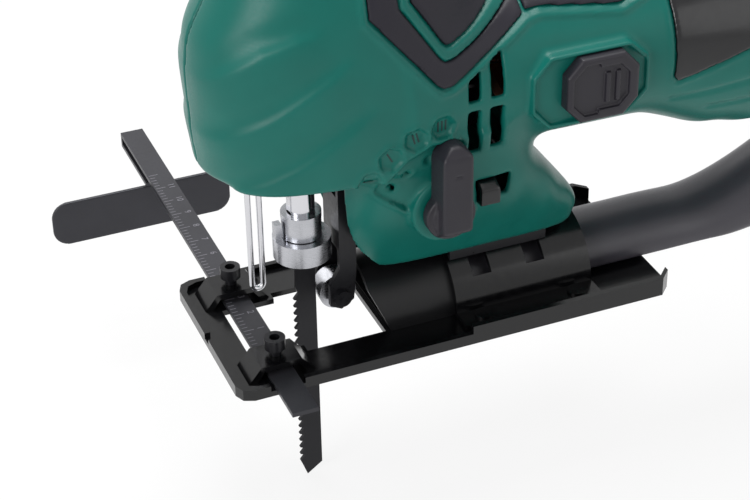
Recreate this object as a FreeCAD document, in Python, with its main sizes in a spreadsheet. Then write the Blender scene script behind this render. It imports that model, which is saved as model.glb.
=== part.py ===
import FreeCAD, Part
import math
import os
import re
import Sketcher

# A pendulum jigsaw.  +X points to the rear of the tool, +Y to the operator's right when sawing towards -X,
# +Z up.  The origin lies on the underside of the sole, on the plunger's axis.

SIZES = {
    # sole plate and its rolled rims
    "sole_length": 158, "sole_width": 69, "sole_front": 35, "sheet": 2, "front_rim": 4, "side_rim": 7,
    "rim_step_at": 47, "rear_chamfer": 4, "slot_front": 24.6, "slot_half": 14.8, "slot_rear": 6,
    "window_half": 18.3, "window_rear": 22, "notch_half": 2,
    # straps pressed up over the guide bar, and their clamp screws
    "strap_at": 22.5, "strap_wide": 12, "strap_front": 30, "strap_rear": 7, "strap_clear": 3.5,
    "clamp_screw_dia": 4, "clamp_head_dia": 7, "clamp_head_high": 4, "clamp_stem": 2.5,
    # parallel guide
    "bar_at": -18.6, "bar_wide": 8.8, "bar_thick": 1.5, "bar_near": 50.3, "bar_far": 144.4,
    "fence_at": 111, "fence_drop": 6, "fence_high": 18, "fence_front": 60, "fence_rear": 10,
    # saddle, the half pipe that the tool tilts on
    "saddle_dia": 43, "saddle_front": 47, "saddle_rear": 98, "flange_half": 29.5, "rivet_at": 25.6,
    "rivet_dia": 4, "rivet_inset": 8, "tilt_slot": 7, "tilt_screw_front": 58, "tilt_screw_pitch": 20,
    "tilt_screw_dia": 5, "tilt_head_dia": 9, "tilt_head_high": 1.7, "tilt_limit": 54,
    # dust mouth and tube
    "mouth_dia": 38, "mouth_front": 18.2, "mouth_rear": 50, "mouth_slant": 6, "plastic": 2,
    "tube_dia": 29.6, "tube_bend": 148, "tube_end": 206, "tube_end_dia": 32, "tube_rise": 26,
    "tube_tilt": 20,
    "port_dia": 28.6, "port_deep": 14,
    # clearances
    "slide_gap": 0.3, "run_gap": 0.05, "seat_gap": 0.1,
    # plunger, clamp and blade
    "plunger_dia": 9.4, "plunger_low": 42, "plunger_high": 134, "collar_dia": 19.6, "collar_low": 28.2,
    "collar_high": 7.6, "clamp_dia": 11, "clamp_top": 45, "blade_back": 4, "blade_wide": 8,
    "blade_thick": 1.2,
    "blade_tip": 65, "blade_top": 41, "tooth_pitch": 3, "tooth_deep": 1.7, "teeth_count": 24,
    "teeth_top": 13,
    # drive
    "stroke": 18, "motor_axis": 89, "gear_teeth": 36, "pinion_teeth": 9, "gear_front": 14, "gear_thick": 7,
    "crank_pin_dia": 6, "axle_dia": 8, "yoke_half": 16, "yoke_high": 8, "yoke_rear": 9,
    "gear_case_plate": 26, "plate_thick": 6, "case_half": 22, "case_wall": 3, "case_top": 133,
    "lower_arm": 72, "arm_thick": 10, "bush_wall": 1.5, "shaft_dia": 8, "shaft_end": 168,
    "core_dia": 32, "core_front": 80, "core_long": 45, "stator_dia": 50, "stator_bore": 33.4,
    "coil_long": 5.8, "fan_at": 46, "fan_wide": 10, "fan_dia": 44, "commutator_at": 138,
    "commutator_long": 14,
    "commutator_dia": 22, "bearing_dia": 22, "bearing_wide": 7, "rear_bearing_at": 160,
    "rear_bearing_dia": 19,
    # pendulum action
    "roller_dia": 13, "roller_wide": 7, "roller_z": 12, "fork_half": 7, "fork_sheet": 2,
    "fork_front": 10.4, "fork_deep": 6, "pivot_at": 16,
    "pivot_z": 62, "pin_dia": 4, "knob_at": 38.5, "knob_z": 53, "knob_dia": 17, "knob_face": 31,
    "knob_out": 41,
    "lever_wide": 10.5, "lever_top": 27,
    # housing
    "wall": 2.5, "foot_bottom": 24.2, "head_bottom": 69, "carrier_front": 48, "carrier_half": 12.6,
    "carrier_top": 44, "carrier_rear": 84, "inlay": 0.8, "boss_dia": 8, "screw_dia": 3.2,
    "screw_head_dia": 6.4,
    # switch
    "switch_at": 90.5, "switch_long": 27, "switch_high": 23, "switch_travel": 10, "switch_pad": 34.5,
    "switch_face": 37.5, "link_out": 28.6,
}

doc = FreeCAD.newDocument("jigsaw")
sheet = doc.addObject("Spreadsheet::Sheet", "dims")
for row, (alias, value) in enumerate(SIZES.items(), start=1):
    sheet.set("A%d" % row, alias)
    sheet.set("B%d" % row, str(value))
    sheet.setAlias("B%d" % row, alias)
doc.recompute()
size = {alias: float(sheet.get(alias)) for alias in SIZES}

LOFT_DEGREE = 2
TUBE_CORNER = 2.7
WORD = re.compile(r"[a-z_]+")
parts = []


def formula(text):
    """An expression over the sheet: every alias in text gets the sheet's name in front."""
    return WORD.sub(lambda word: "dims." + word.group() if word.group() in SIZES else word.group(),
                    str(text))


def bind(thing, prop, text):
    thing.setExpression(prop, formula(text))


def box(x, y, z):
    """A block between the bounds (low, high) on each axis, each an expression."""
    block = doc.addObject("Part::Box", "block")
    for prop, place, (low, high) in zip(("Length", "Width", "Height"), "xyz", (x, y, z)):
        bind(block, prop, "(%s) - (%s)" % (high, low))
        bind(block, "Placement.Base." + place, low)
    return block


TURNS = {"x": ((0, 1, 0), 90), "y": ((1, 0, 0), -90), "z": ((0, 0, 1), 0)}


def rod(axis, radius, low, high, across):
    """A cylinder along axis from low to high, its centre at the two expressions in across."""
    bar = doc.addObject("Part::Cylinder", "rod")
    vector, angle = TURNS[axis]
    bar.Placement = FreeCAD.Placement(FreeCAD.Vector(), FreeCAD.Rotation(FreeCAD.Vector(*vector), angle))
    bind(bar, "Radius", radius)
    bind(bar, "Height", "(%s) - (%s)" % (high, low))
    spots = dict(zip([name for name in "xyz" if name != axis], across))
    spots[axis] = low
    for place, text in spots.items():
        bind(bar, "Placement.Base." + place, text)
    return bar


def fuse(*shapes):
    joined = doc.addObject("Part::MultiFuse", "joined")
    joined.Shapes = list(shapes)
    joined.Refine = True
    return joined


def cut(base, *tools):
    result = doc.addObject("Part::Cut", "cut")
    result.Base = base
    result.Tool = tools[0] if len(tools) == 1 else fuse(*tools)
    return result


def common(first, second):
    result = doc.addObject("Part::Common", "common")
    result.Base = first
    result.Tool = second
    return result


PLANES = {"xy": "XY_Plane", "xz": "XZ_Plane", "yz": "YZ_Plane"}


def pad(plane, corners, low, high):
    """A PartDesign pad of a polygon.  The corners are pairs of expressions in the plane, and the pad fills
    low to high along the plane's own axis: +Z for xy, +Y for xz, +X for yz."""
    body = doc.addObject("PartDesign::Body", "body")
    sketch = body.newObject("Sketcher::SketchObject", "outline")
    origin = [item for item in body.Origin.OriginFeatures if item.Role == PLANES[plane]]
    sketch.AttachmentSupport = [(origin[0], "")]
    sketch.MapMode = "FlatFace"
    spots = [tuple(evaluate(text) for text in corner) for corner in corners]
    count = len(corners)
    for index in range(count):
        start = FreeCAD.Vector(*spots[index], 0)
        end = FreeCAD.Vector(*spots[(index + 1) % count], 0)
        sketch.addGeometry(Part.LineSegment(start, end), False)
    for index in range(count):
        sketch.addConstraint(Sketcher.Constraint("Coincident", index, 2, (index + 1) % count, 1))
    for index, corner in enumerate(corners):
        for way, text, value in zip(("DistanceX", "DistanceY"), corner, spots[index]):
            number = sketch.addConstraint(Sketcher.Constraint(way, -1, 1, index, 1, value))
            if WORD.search(str(text)):
                bind(sketch, "Constraints[%d]" % number, text)
    extrusion = body.newObject("PartDesign::Pad", "pad")
    extrusion.Profile = sketch
    bind(extrusion, "Length", "(%s) - (%s)" % (high, low))
    # the xz sketch looks along -Y, so its pad grows towards -Y and starts at the high end
    shift = "-(%s)" % high if plane == "xz" else low
    bind(sketch, "AttachmentOffset.Base.z", shift)
    return body


def evaluate(text):
    """The number that an expression over the sheet has now."""
    probe = doc.getObject("probe") or doc.addObject("App::FeaturePython", "probe")
    if "Value" not in probe.PropertiesList:
        probe.addProperty("App::PropertyFloat", "Value")
    probe.setExpression("Value", formula(text))
    probe.recompute()
    return float(probe.Value)


def keep(name, thing):
    """Name a finished piece; it is written to its own file at the end."""
    thing.Label = name
    parts.append((name, thing))
    return thing


def shape_feature(shape):
    """A Part::Feature for a shape that Part's own functions made from the sheet's sizes."""
    feature = doc.addObject("Part::Feature", "solid")
    feature.Shape = shape
    feature.Placement = FreeCAD.Placement()
    return feature


# ---------------------------------------------------------------- sole
HALF = "sole_width / 2"
REAR = "sole_length - sole_front"


def sole_outline(inset):
    """The sole's outline, moved inwards by inset, with small front corners and chamfered rear corners."""
    front, side = "-sole_front + %s" % inset, "%s - %s" % (HALF, inset)
    rear = REAR
    return [(front, "-(%s) + 5" % side), (front, "(%s) - 5" % side), ("%s + 1.5" % front,
                                                                      "(%s) - 1.5" % side),
            ("%s + 5" % front, side), ("%s - rear_chamfer" % rear, side), (rear,
                                                                           "(%s) - rear_chamfer" % side),
            (rear, "-(%s) + rear_chamfer" % side), ("%s - rear_chamfer" % rear, "-(%s)" % side),
            ("%s + 5" % front, "-(%s)" % side), ("%s + 1.5" % front, "-(%s) + 1.5" % side)]


def strap(side):
    """One strap, a flat-topped bridge over the bar at side * strap_at, with its tapped hole."""
    low, high = "sheet", "sheet + strap_clear"
    outer = [("-strap_front", "0"), ("-strap_front", low), ("-strap_front + 4.5", "%s + sheet" % high),
             ("-strap_rear - 4.5", "%s + sheet" % high), ("-strap_rear", low), ("-strap_rear", "0"),
             ("-strap_rear - 3", "0"), ("-strap_rear - 3", low), ("-strap_rear - 5.5", high),
             ("-strap_front + 5.5", high), ("-strap_front + 3", low), ("-strap_front + 3", "0")]
    middle = "%d * strap_at" % side
    bridge = pad("xz", outer, "%s - strap_wide / 2" % middle, "%s + strap_wide / 2" % middle)
    hole = rod("z", "clamp_screw_dia / 2 + run_gap", "0", "20", ("bar_at", middle))
    return cut(bridge, hole)


tray = pad("xy", sole_outline("0"), "0", "side_rim")
dish = pad("xy", sole_outline("sheet"), "sheet", "side_rim + 1")
tail = box(("%s - 9" % REAR, "%s + 1" % REAR), ("-%s + 12" % HALF, "%s - 12" % HALF), ("sheet",
                                                                                       "side_rim + 1"))
low_front = box(("-sole_front - 1", "rim_step_at"), ("-sole_width", "sole_width"), ("front_rim",
                                                                                    "side_rim + 1"))
bar_gap = box(("bar_at - bar_wide / 2 - 1.5", "bar_at + bar_wide / 2 + 1.5"), ("-sole_width", "sole_width"),
              ("sheet", "side_rim + 1"))
slot = box(("-slot_front", "0"), ("-slot_half", "slot_half"), ("-1", "side_rim"))
window = box(("-slot_rear", "window_rear"), ("-window_half", "window_half"), ("-1", "side_rim"))
notch = box(("-sole_front - 1", "-sole_front + 3"), ("-notch_half", "notch_half"), ("sheet", "side_rim"))
plate = cut(tray, dish, tail, low_front, bar_gap, slot, window, notch)
keep("sole_plate", fuse(plate, strap(-1), strap(1)))

# ---------------------------------------------------------------- guide, its fence and clamp screws
BAR_LOW = "sheet + slide_gap"
BAR_TOP = "sheet + slide_gap + bar_thick"
BAR_X = ("bar_at - bar_wide / 2", "bar_at + bar_wide / 2")
bar = box(BAR_X, ("-bar_near", "bar_far"), (BAR_LOW, BAR_TOP))
turn_down = box(BAR_X, ("bar_far - bar_thick", "bar_far"), ("%s - fence_drop" % BAR_TOP, BAR_TOP))
lower_leg = box(BAR_X, ("fence_at", "bar_far"), ("%s - fence_drop" % BAR_TOP,
                                                 "%s - fence_drop + bar_thick" % BAR_TOP))
keep("guide_bar", fuse(bar, turn_down, lower_leg))
FENCE_TOP = "%s - fence_drop" % BAR_TOP
keep("guide_fence", pad("xz", [
    ("-fence_front", "%s - fence_high + 5" % FENCE_TOP), ("-fence_front", "%s - 5" % FENCE_TOP),
    ("-fence_front + 4", "%s - 1" % FENCE_TOP), ("-fence_front + 10", FENCE_TOP), ("fence_rear - 6",
                                                                                   FENCE_TOP),
    ("fence_rear", "%s - 4" % FENCE_TOP), ("fence_rear", "%s - fence_high + 4" % FENCE_TOP),
    ("fence_rear - 6", "%s - fence_high" % FENCE_TOP), ("-fence_front + 10", "%s - fence_high" % FENCE_TOP),
    ("-fence_front + 4", "%s - fence_high + 1" % FENCE_TOP)], "fence_at", "fence_at + bar_thick"))

STRAP_TOP = "sheet + strap_clear + sheet"
for name, side in (("guide_screw_left", -1), ("guide_screw_right", 1)):
    middle = ("bar_at", "%d * strap_at" % side)
    stem = rod("z", "clamp_screw_dia / 2", "%s + slide_gap" % BAR_TOP, "%s + clamp_stem" % STRAP_TOP,
               middle)
    head = rod("z", "clamp_head_dia / 2", "%s + clamp_stem" % STRAP_TOP,
               "%s + clamp_stem + clamp_head_high" % STRAP_TOP, middle)
    socket = rod("z", "clamp_head_dia / 4", "%s + clamp_stem + clamp_head_high / 2" % STRAP_TOP, "30",
                 middle)
    keep(name, cut(fuse(stem, head), socket))

# ---------------------------------------------------------------- saddle, its rivets and the tilt screws
TILT_Z = "sheet"
arch = rod("x", "saddle_dia / 2", "saddle_front", "saddle_rear", ("0", TILT_Z))
inside = rod("x", "saddle_dia / 2 - sheet", "saddle_front - 1", "saddle_rear + 1", ("0", TILT_Z))
below = box(("saddle_front - 1", "saddle_rear + 1"), ("-saddle_dia", "saddle_dia"), ("-saddle_dia", TILT_Z))
flanges = box(("saddle_front", "saddle_rear"), ("-flange_half", "flange_half"), (TILT_Z, "2 * sheet"))
slots = []
for turn in ("0", "1"):
    at = "tilt_screw_front + %s * tilt_screw_pitch" % turn
    ring = rod("x", "saddle_dia", "%s - tilt_slot / 2" % at, "%s + tilt_slot / 2" % at, ("0", TILT_Z))
    wedge = pad("yz", [("0", TILT_Z), ("saddle_dia * tan(tilt_limit)", "%s + saddle_dia" % TILT_Z),
                       ("-saddle_dia * tan(tilt_limit)", "%s + saddle_dia" % TILT_Z)],
                "%s - tilt_slot / 2" % at, "%s + tilt_slot / 2" % at)
    slots.append(common(ring, wedge))
rivets, rivet_holes = [], []
for along in ("saddle_front + rivet_inset", "saddle_rear - rivet_inset"):
    for side in (-1, 1):
        spot = (along, "%d * rivet_at" % side)
        rivet_holes.append(rod("z", "rivet_dia / 2", "0", "3 * sheet", spot))
        rivets.append(fuse(rod("z", "rivet_dia / 2", "sheet", "2 * sheet", spot),
                           rod("z", "rivet_dia / 2 + 1.2", "2 * sheet", "2 * sheet + 1", spot)))
keep("saddle", cut(cut(fuse(arch, flanges), inside, below), *(slots + rivet_holes)))
group = doc.addObject("Part::Compound", "group")
group.Links = rivets
keep("saddle_rivets", group)

head_top = "%s + saddle_dia / 2 - sheet - 6 * slide_gap" % TILT_Z
for name, turn in (("tilt_screw_front", 0), ("tilt_screw_rear", 1)):
    at = ("tilt_screw_front + %d * tilt_screw_pitch" % turn, "0")
    stem = rod("z", "tilt_screw_dia / 2", "%s - tilt_head_high / 2" % head_top, "carrier_top - 8", at)
    head = rod("z", "tilt_head_dia / 2", "%s - tilt_head_high" % head_top, head_top, at)
    hexagon = rod("z", "tilt_screw_dia / 2.4", "0", "%s - tilt_head_high / 2" % head_top, at)
    keep(name, cut(fuse(head, stem), hexagon))

# ---------------------------------------------------------------- dust mouth and tube


def dee(x, radius, low):
    """The part of a circle about the tilt axis that lies above z = low, as a closed wire at x."""
    middle = size["sheet"]
    side = math.sqrt(radius ** 2 - (low - middle) ** 2)
    near, far = FreeCAD.Vector(x, -side, low), FreeCAD.Vector(x, side, low)
    arc = Part.Arc(near, FreeCAD.Vector(x, 0, middle + radius), far).toShape()
    return Part.Wire([arc, Part.LineSegment(far, near).toShape()])


def bar_of(wire, length):
    return Part.Face(wire).extrude(FreeCAD.Vector(length, 0, 0))


def dust_mouth():
    front, rear, wall = size["mouth_front"], size["mouth_rear"], size["plastic"]
    radius, low = size["mouth_dia"] / 2, size["sheet"]
    outer = bar_of(dee(front, radius, low), rear - front)
    inner = bar_of(dee(front - 1, radius - wall, low + wall), rear - wall - front + 1)
    half_y, high, below, power = tube_section(wall)
    middle = low + size["slide_gap"] + TUBE_CORNER
    through = bar_of(oval(front, middle, half_y, high, 2.0, 0, below, power), rear - front + 1)
    slant = Part.makePolygon([FreeCAD.Vector(front - 1, -40, low - 1),
                              FreeCAD.Vector(front + size["mouth_slant"], -40, low - 1),
                              FreeCAD.Vector(front, -40, low + radius * 0.7),
                              FreeCAD.Vector(front - 1, -40, low + radius * 0.7),
                              FreeCAD.Vector(front - 1, -40, low - 1)])
    slope = Part.Face(slant).extrude(FreeCAD.Vector(0, 80, 0))
    return outer.cut(inner).cut(through).cut(slope)


def oval(x, centre_z, half_y, half_z, power, tilt=0.0, below=None, power_below=None, count=24):
    """A closed curve of super-ellipse shape across X, leaning back by tilt degrees.  The lower half may have
    a half height and a power of its own."""
    lean = math.tan(math.radians(tilt))
    points = []
    for index in range(count):
        angle = 2 * math.pi * index / count
        c, s = math.cos(angle), math.sin(angle)
        lower = s < 0 and below is not None
        bend = power_below if lower else power
        y = half_y * math.copysign(abs(c) ** (2 / bend), c)
        z = (below if lower else half_z) * math.copysign(abs(s) ** (2 / bend), s)
        points.append(FreeCAD.Vector(x - z * lean, y, centre_z + z))
    curve = Part.BSplineCurve()
    curve.interpolate(points, PeriodicFlag=True)
    return Part.Wire([curve.toShape()])


def tube_section(shrink, share=0.0):
    """Half width, height above and below the middle and lower power of the tube, moved inwards by shrink.
    share goes from 0 on the flat-bottomed run to 1 at the round end."""
    radius, end_radius = size["tube_dia"] / 2, size["tube_end_dia"] / 2
    above = radius - TUBE_CORNER - size["slide_gap"]
    sizes = [(radius, end_radius), (above, end_radius), (TUBE_CORNER, end_radius)]
    half_y, high, below = [(1 - share) * start + share * end - shrink for start, end in sizes]
    return half_y, high, below, 3.5 - 1.5 * share


def tube_body(shrink, overrun):
    """The tube without its hollow, or its hollow: a flat-bottomed run, then a bend up to a round end."""
    front, bend, end = size["mouth_rear"] + size["slide_gap"], size["tube_bend"], size["tube_end"]
    middle = size["sheet"] + size["slide_gap"] + TUBE_CORNER
    wires = []
    for step in range(8):
        half_y, high, below, power = tube_section(shrink)
        wires.append(oval(front - overrun + (bend - front + overrun) * step / 7, middle, half_y, high,
                          2.0, 0,
                          below, power))
    for step in range(1, 8):
        share = step / 7
        half_y, high, below, power = tube_section(shrink, share)
        wires.append(oval(bend + (end + overrun - bend) * share,
                          middle + (size["tube_rise"] - middle) * share ** 1.6,
                          half_y, high, 2.0, size["tube_tilt"] * min(1, 1.5 * share), below, power))
    return Part.makeLoft(wires, True, False, False, LOFT_DEGREE)


def dust_tube():
    tilt = math.radians(size["tube_tilt"])
    along = FreeCAD.Vector(math.cos(tilt), 0, math.sin(tilt))
    mouth = FreeCAD.Vector(size["tube_end"], 0, size["tube_rise"])
    port = Part.makeCylinder(size["port_dia"] / 2, size["port_deep"] + 10,
                             mouth - along * size["port_deep"], along)
    return tube_body(0, 0).cut(tube_body(size["plastic"], 0.01)).cut(port)


keep("dust_mouth", shape_feature(dust_mouth()))
keep("dust_tube", shape_feature(dust_tube()))

# ---------------------------------------------------------------- plunger, clamp and blade
plunger = rod("z", "plunger_dia / 2", "plunger_low", "plunger_high", ("0", "0"))
flats = box(("-plunger_dia / 2 + 0.5", "plunger_dia / 2 - 0.5"), ("-plunger_dia", "plunger_dia"),
            ("plunger_low - 1", "lower_arm - stroke - 1"))
narrow = rod("z", "plunger_dia", "plunger_low - 1", "lower_arm - stroke - 2", ("0", "0"))
keep("plunger", cut(plunger, cut(narrow, flats)))
YOKE_MIDDLE = "motor_axis + gear_teeth / 2 + pinion_teeth / 2 - stroke / 2"
yoke = box(("-plunger_dia / 2 - 2", "yoke_rear"), ("-yoke_half", "yoke_half"),
           ("%s - yoke_high / 2" % YOKE_MIDDLE, "%s + yoke_high / 2" % YOKE_MIDDLE))
race = box(("plunger_dia / 2 + 0.8", "yoke_rear + 1"), ("-yoke_half + 2.5", "yoke_half - 2.5"),
           ("%s - crank_pin_dia / 2 - 0.2" % YOKE_MIDDLE, "%s + crank_pin_dia / 2 + 0.2" % YOKE_MIDDLE))
plunger_bore = rod("z", "plunger_dia / 2", "60", "plunger_high", ("0", "0"))
keep("plunger_yoke", cut(yoke, race, plunger_bore))

SLIT = box(("-blade_back", "blade_back"), ("-blade_thick / 2", "blade_thick / 2"),
           ("collar_low - 10", "blade_top"))
clamp = rod("z", "clamp_dia / 2", "collar_low - 1", "plunger_low", ("0", "0"))
skirt = cut(rod("z", "clamp_dia / 2", "plunger_low", "clamp_top", ("0", "0")),
            rod("z", "plunger_dia / 2", "plunger_low - 1", "clamp_top + 1", ("0", "0")))
keep("blade_clamp", cut(fuse(clamp, skirt), SLIT))
collar_hole = rod("z", "clamp_dia / 2 + run_gap", "0", "60", ("0", "0"))
collar = rod("z", "collar_dia / 2", "collar_low", "collar_low + collar_high", ("0", "0"))
tab = box(("-collar_dia / 2 + 0.2", "-clamp_dia / 2 - 1.8"), ("-1.6", "1.6"),
          ("collar_low + collar_high - 1", "clamp_top - 3"))
keep("clamp_collar", cut(fuse(collar, tab), collar_hole))
washer = cut(rod("z", "clamp_dia / 2 + 1.3", "clamp_top - 2", "clamp_top", ("0", "0")),
             rod("z", "clamp_dia / 2", "0", "60", ("0", "0")))
keep("clamp_washer", washer)
spring = cut(rod("z", "clamp_dia / 2 + 1.2", "collar_low + collar_high + slide_gap", "clamp_top - 2",
                 ("0", "0")),
             rod("z", "clamp_dia / 2", "0", "60", ("0", "0")))
keep("clamp_spring", spring)

BLADE_FRONT = "blade_back - blade_wide"
outline = [("blade_back", "blade_top"), ("-blade_back + 1", "blade_top"), ("-blade_back + 1",
                                                                           "teeth_top + 6"),
           ("%s + tooth_deep / 2" % BLADE_FRONT, "teeth_top + 2")]
for index in range(int(SIZES["teeth_count"])):
    tooth = "teeth_top - %d * tooth_pitch" % index
    outline.append(("%s + tooth_deep" % BLADE_FRONT, "%s - 0.1 * tooth_pitch" % tooth))
    outline.append((BLADE_FRONT, "%s - 0.8 * tooth_pitch" % tooth))
outline += [("%s + 1" % BLADE_FRONT, "-blade_tip + 4"), ("blade_back - 5.6", "-blade_tip"),
            ("blade_back", "-blade_tip + 4")]
keep("saw_blade", pad("xz", outline, "-blade_thick / 2", "blade_thick / 2"))

# ---------------------------------------------------------------- gear case, bushes, gears and crank
GEAR_Z = "motor_axis + gear_teeth / 2 + pinion_teeth / 2"
PLATE = ("gear_case_plate", "gear_case_plate + plate_thick")
back = box(PLATE, ("-case_half", "case_half"), ("lower_arm - 6", "case_top"))
web = box(PLATE, ("-carrier_half", "carrier_half"), ("foot_bottom + 4.5", "lower_arm"))
tail_way = box(("gear_case_plate - 1", "gear_case_plate + plate_thick + 1"),
               ("-fork_half - slide_gap", "fork_half + slide_gap"), ("knob_z - 6", "lower_arm - 6"))
cheeks = [box(("-6", "gear_case_plate"), bounds, ("lower_arm", "case_top"))
          for bounds in (("-case_half", "-case_half + case_wall"), ("case_half - case_wall", "case_half"))]
floor = box(("-6", "gear_case_plate"), ("-case_half", "case_half"), ("lower_arm", "lower_arm + arm_thick"))
nose = box(("-21", "-6"), ("-12", "12"), ("lower_arm", "lower_arm + arm_thick"))
bridge = box(("-6", "9"), ("-case_half", "case_half"), ("case_top - 8", "case_top"))
lugs = [box(("pivot_at - 3.5", "pivot_at + 3.5"), bounds, ("pivot_z - 3.5", "lower_arm"))
        for bounds in (("-fork_half - 4", "-fork_half - slide_gap"), ("fork_half + slide_gap",
                                                                      "fork_half + 4"))]
bush_hole = rod("z", "plunger_dia / 2 + run_gap + bush_wall", "60", "150", ("0", "0"))
axle_hole = rod("x", "axle_dia / 2", "gear_case_plate - 1", "gear_case_plate + plate_thick + 1", ("0",
                                                                                                  GEAR_Z))
bearing_hole = rod("x", "bearing_dia / 2", "gear_case_plate - 1", "gear_case_plate + plate_thick + 1",
                   ("0", "motor_axis"))
pivot_hole = rod("y", "pin_dia / 2", "-case_half", "case_half", ("pivot_at", "pivot_z"))
wire_holes = [rod("z", "1", "lower_arm - 1", "lower_arm + 6", (at, "0")) for at in ("-18", "-14.2")]
keep("gear_case", cut(fuse(back, web, floor, nose, bridge, *(cheeks + lugs)),
                      tail_way, bush_hole, axle_hole, bearing_hole, pivot_hole, *wire_holes))

BUSH = "plunger_dia / 2 + run_gap"
for name, low, high in (("lower_bush", "lower_arm", "lower_arm + arm_thick"),
                        ("upper_bush", "case_top - 8", "case_top")):
    sleeve = rod("z", BUSH + " + bush_wall", low, high, ("0", "0"))
    keep(name, cut(sleeve, rod("z", BUSH, "60", "150", ("0", "0"))))

keep("gear_axle", rod("x", "axle_dia / 2", "gear_front - 1", PLATE[1], ("0", GEAR_Z)))
keep("pivot_pin", rod("y", "pin_dia / 2", "-fork_half - 4", "fork_half + 4", ("pivot_at", "pivot_z")))

legs = [rod("z", "1", "20.4", "lower_arm + 6", (at, "0")) for at in ("-18", "-14.2")]
bow = shape_feature(Part.makeTorus(1.9, 1, FreeCAD.Vector(-16.1, 0, 20.4), FreeCAD.Vector(0, 1, 0)))
keep("guard_wire", fuse(cut(bow, box(("-25", "-10"), ("-5", "5"), ("20.4", "30"))), *legs))


def toothed_wheel(teeth, front, thick, centre_z, phase):
    """A spur wheel of module 1 across X with narrow teeth, and its bore left solid."""
    pitch = teeth / 2
    root, tip = pitch - 1.1, pitch + 0.55
    step = 2 * math.pi / teeth
    points = []
    for index in range(teeth):
        middle = phase + index * step
        for radius, share in ((root, -0.27), (tip, -0.12), (tip, 0.12), (root, 0.27)):
            angle = middle + share * step
            points.append(FreeCAD.Vector(front, radius * math.cos(angle),
                                         centre_z + radius * math.sin(angle)))
    return Part.Face(Part.makePolygon(points + points[:1])).extrude(FreeCAD.Vector(thick, 0, 0))


gear_z = evaluate(GEAR_Z)
wheel_front, wheel_thick = size["gear_front"], size["gear_thick"]
gear_teeth, pinion_teeth = int(size["gear_teeth"]), int(size["pinion_teeth"])
wheel = shape_feature(toothed_wheel(gear_teeth, wheel_front, wheel_thick, gear_z, -math.pi / 2))
CRANK_Z = GEAR_Z + " - stroke / 2"
axle_bore = rod("x", "axle_dia / 2 + run_gap", "0", "40", ("0", GEAR_Z))
crank_bore = rod("x", "crank_pin_dia / 2", "0", "40", ("0", CRANK_Z))
hub = rod("x", "axle_dia / 2 + 3", "gear_front", "gear_case_plate - slide_gap", ("0", GEAR_Z))
keep("crank_gear", cut(fuse(wheel, hub), axle_bore, crank_bore))
keep("crank_pin", rod("x", "crank_pin_dia / 2", "yoke_rear + slide_gap", "gear_front + gear_thick",
                      ("0", CRANK_Z)))

# ---------------------------------------------------------------- motor
AXIS = ("0", "motor_axis")
pinion = shape_feature(toothed_wheel(pinion_teeth, wheel_front, wheel_thick, size["motor_axis"],
                                     math.pi / 2 + math.pi / pinion_teeth))
shaft = rod("x", "shaft_dia / 2", "gear_case_plate - 2", "shaft_end", AXIS)
neck = rod("x", "pinion_teeth / 2 - 1.2", "gear_front", "gear_case_plate", AXIS)
keep("motor_shaft", fuse(pinion, neck, shaft))


def sleeve_on_axis(name, outer, inner, low, high):
    keep(name, cut(rod("x", outer, low, high, AXIS), rod("x", inner, "(%s) - 1" % low, "(%s) + 1" % high,
                                                         AXIS)))


SHAFT = "shaft_dia / 2"
CORE = ("core_front", "core_front + core_long")
sleeve_on_axis("armature_core", "core_dia / 2", SHAFT, *CORE)
sleeve_on_axis("commutator", "commutator_dia / 2", SHAFT, "commutator_at",
               "commutator_at + commutator_long")
sleeve_on_axis("front_bearing", "bearing_dia / 2", SHAFT + " + run_gap", PLATE[0],
               PLATE[0] + " + plate_thick")
sleeve_on_axis("rear_bearing", "rear_bearing_dia / 2", SHAFT + " + run_gap", "rear_bearing_at",
               "rear_bearing_at + bearing_wide")
sleeve_on_axis("stator", "stator_dia / 2", "stator_bore / 2", *CORE)
coils = [cut(rod("x", "stator_dia / 2 - 1", low, high, AXIS), rod("x", "stator_bore / 2 + 1", "60", "150",
                                                                  AXIS))
         for low, high in ((CORE[0] + " - coil_long", CORE[0]), (CORE[1], CORE[1] + " + coil_long"))]
group = doc.addObject("Part::Compound", "group")
group.Links = coils
keep("field_coils", group)
disc = rod("x", "fan_dia / 2", "fan_at + fan_wide - 2", "fan_at + fan_wide", AXIS)
hub = rod("x", "shaft_dia / 2 + 4", "fan_at", "fan_at + fan_wide", AXIS)
blades = []
for index in range(12):
    vane = doc.addObject("Part::Box", "vane")
    bind(vane, "Length", "fan_wide - 1")
    bind(vane, "Width", "fan_dia / 2 - 4")
    vane.Height = 1.2
    bind(vane, "Placement.Base.x", "fan_at")
    bind(vane, "Placement.Base.z", "motor_axis")
    vane.Placement.Rotation = FreeCAD.Rotation(FreeCAD.Vector(1, 0, 0), index * 30)
    blades.append(vane)
keep("cooling_fan", cut(fuse(disc, hub, *blades), rod("x", SHAFT, "0", "150", AXIS)))

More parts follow.
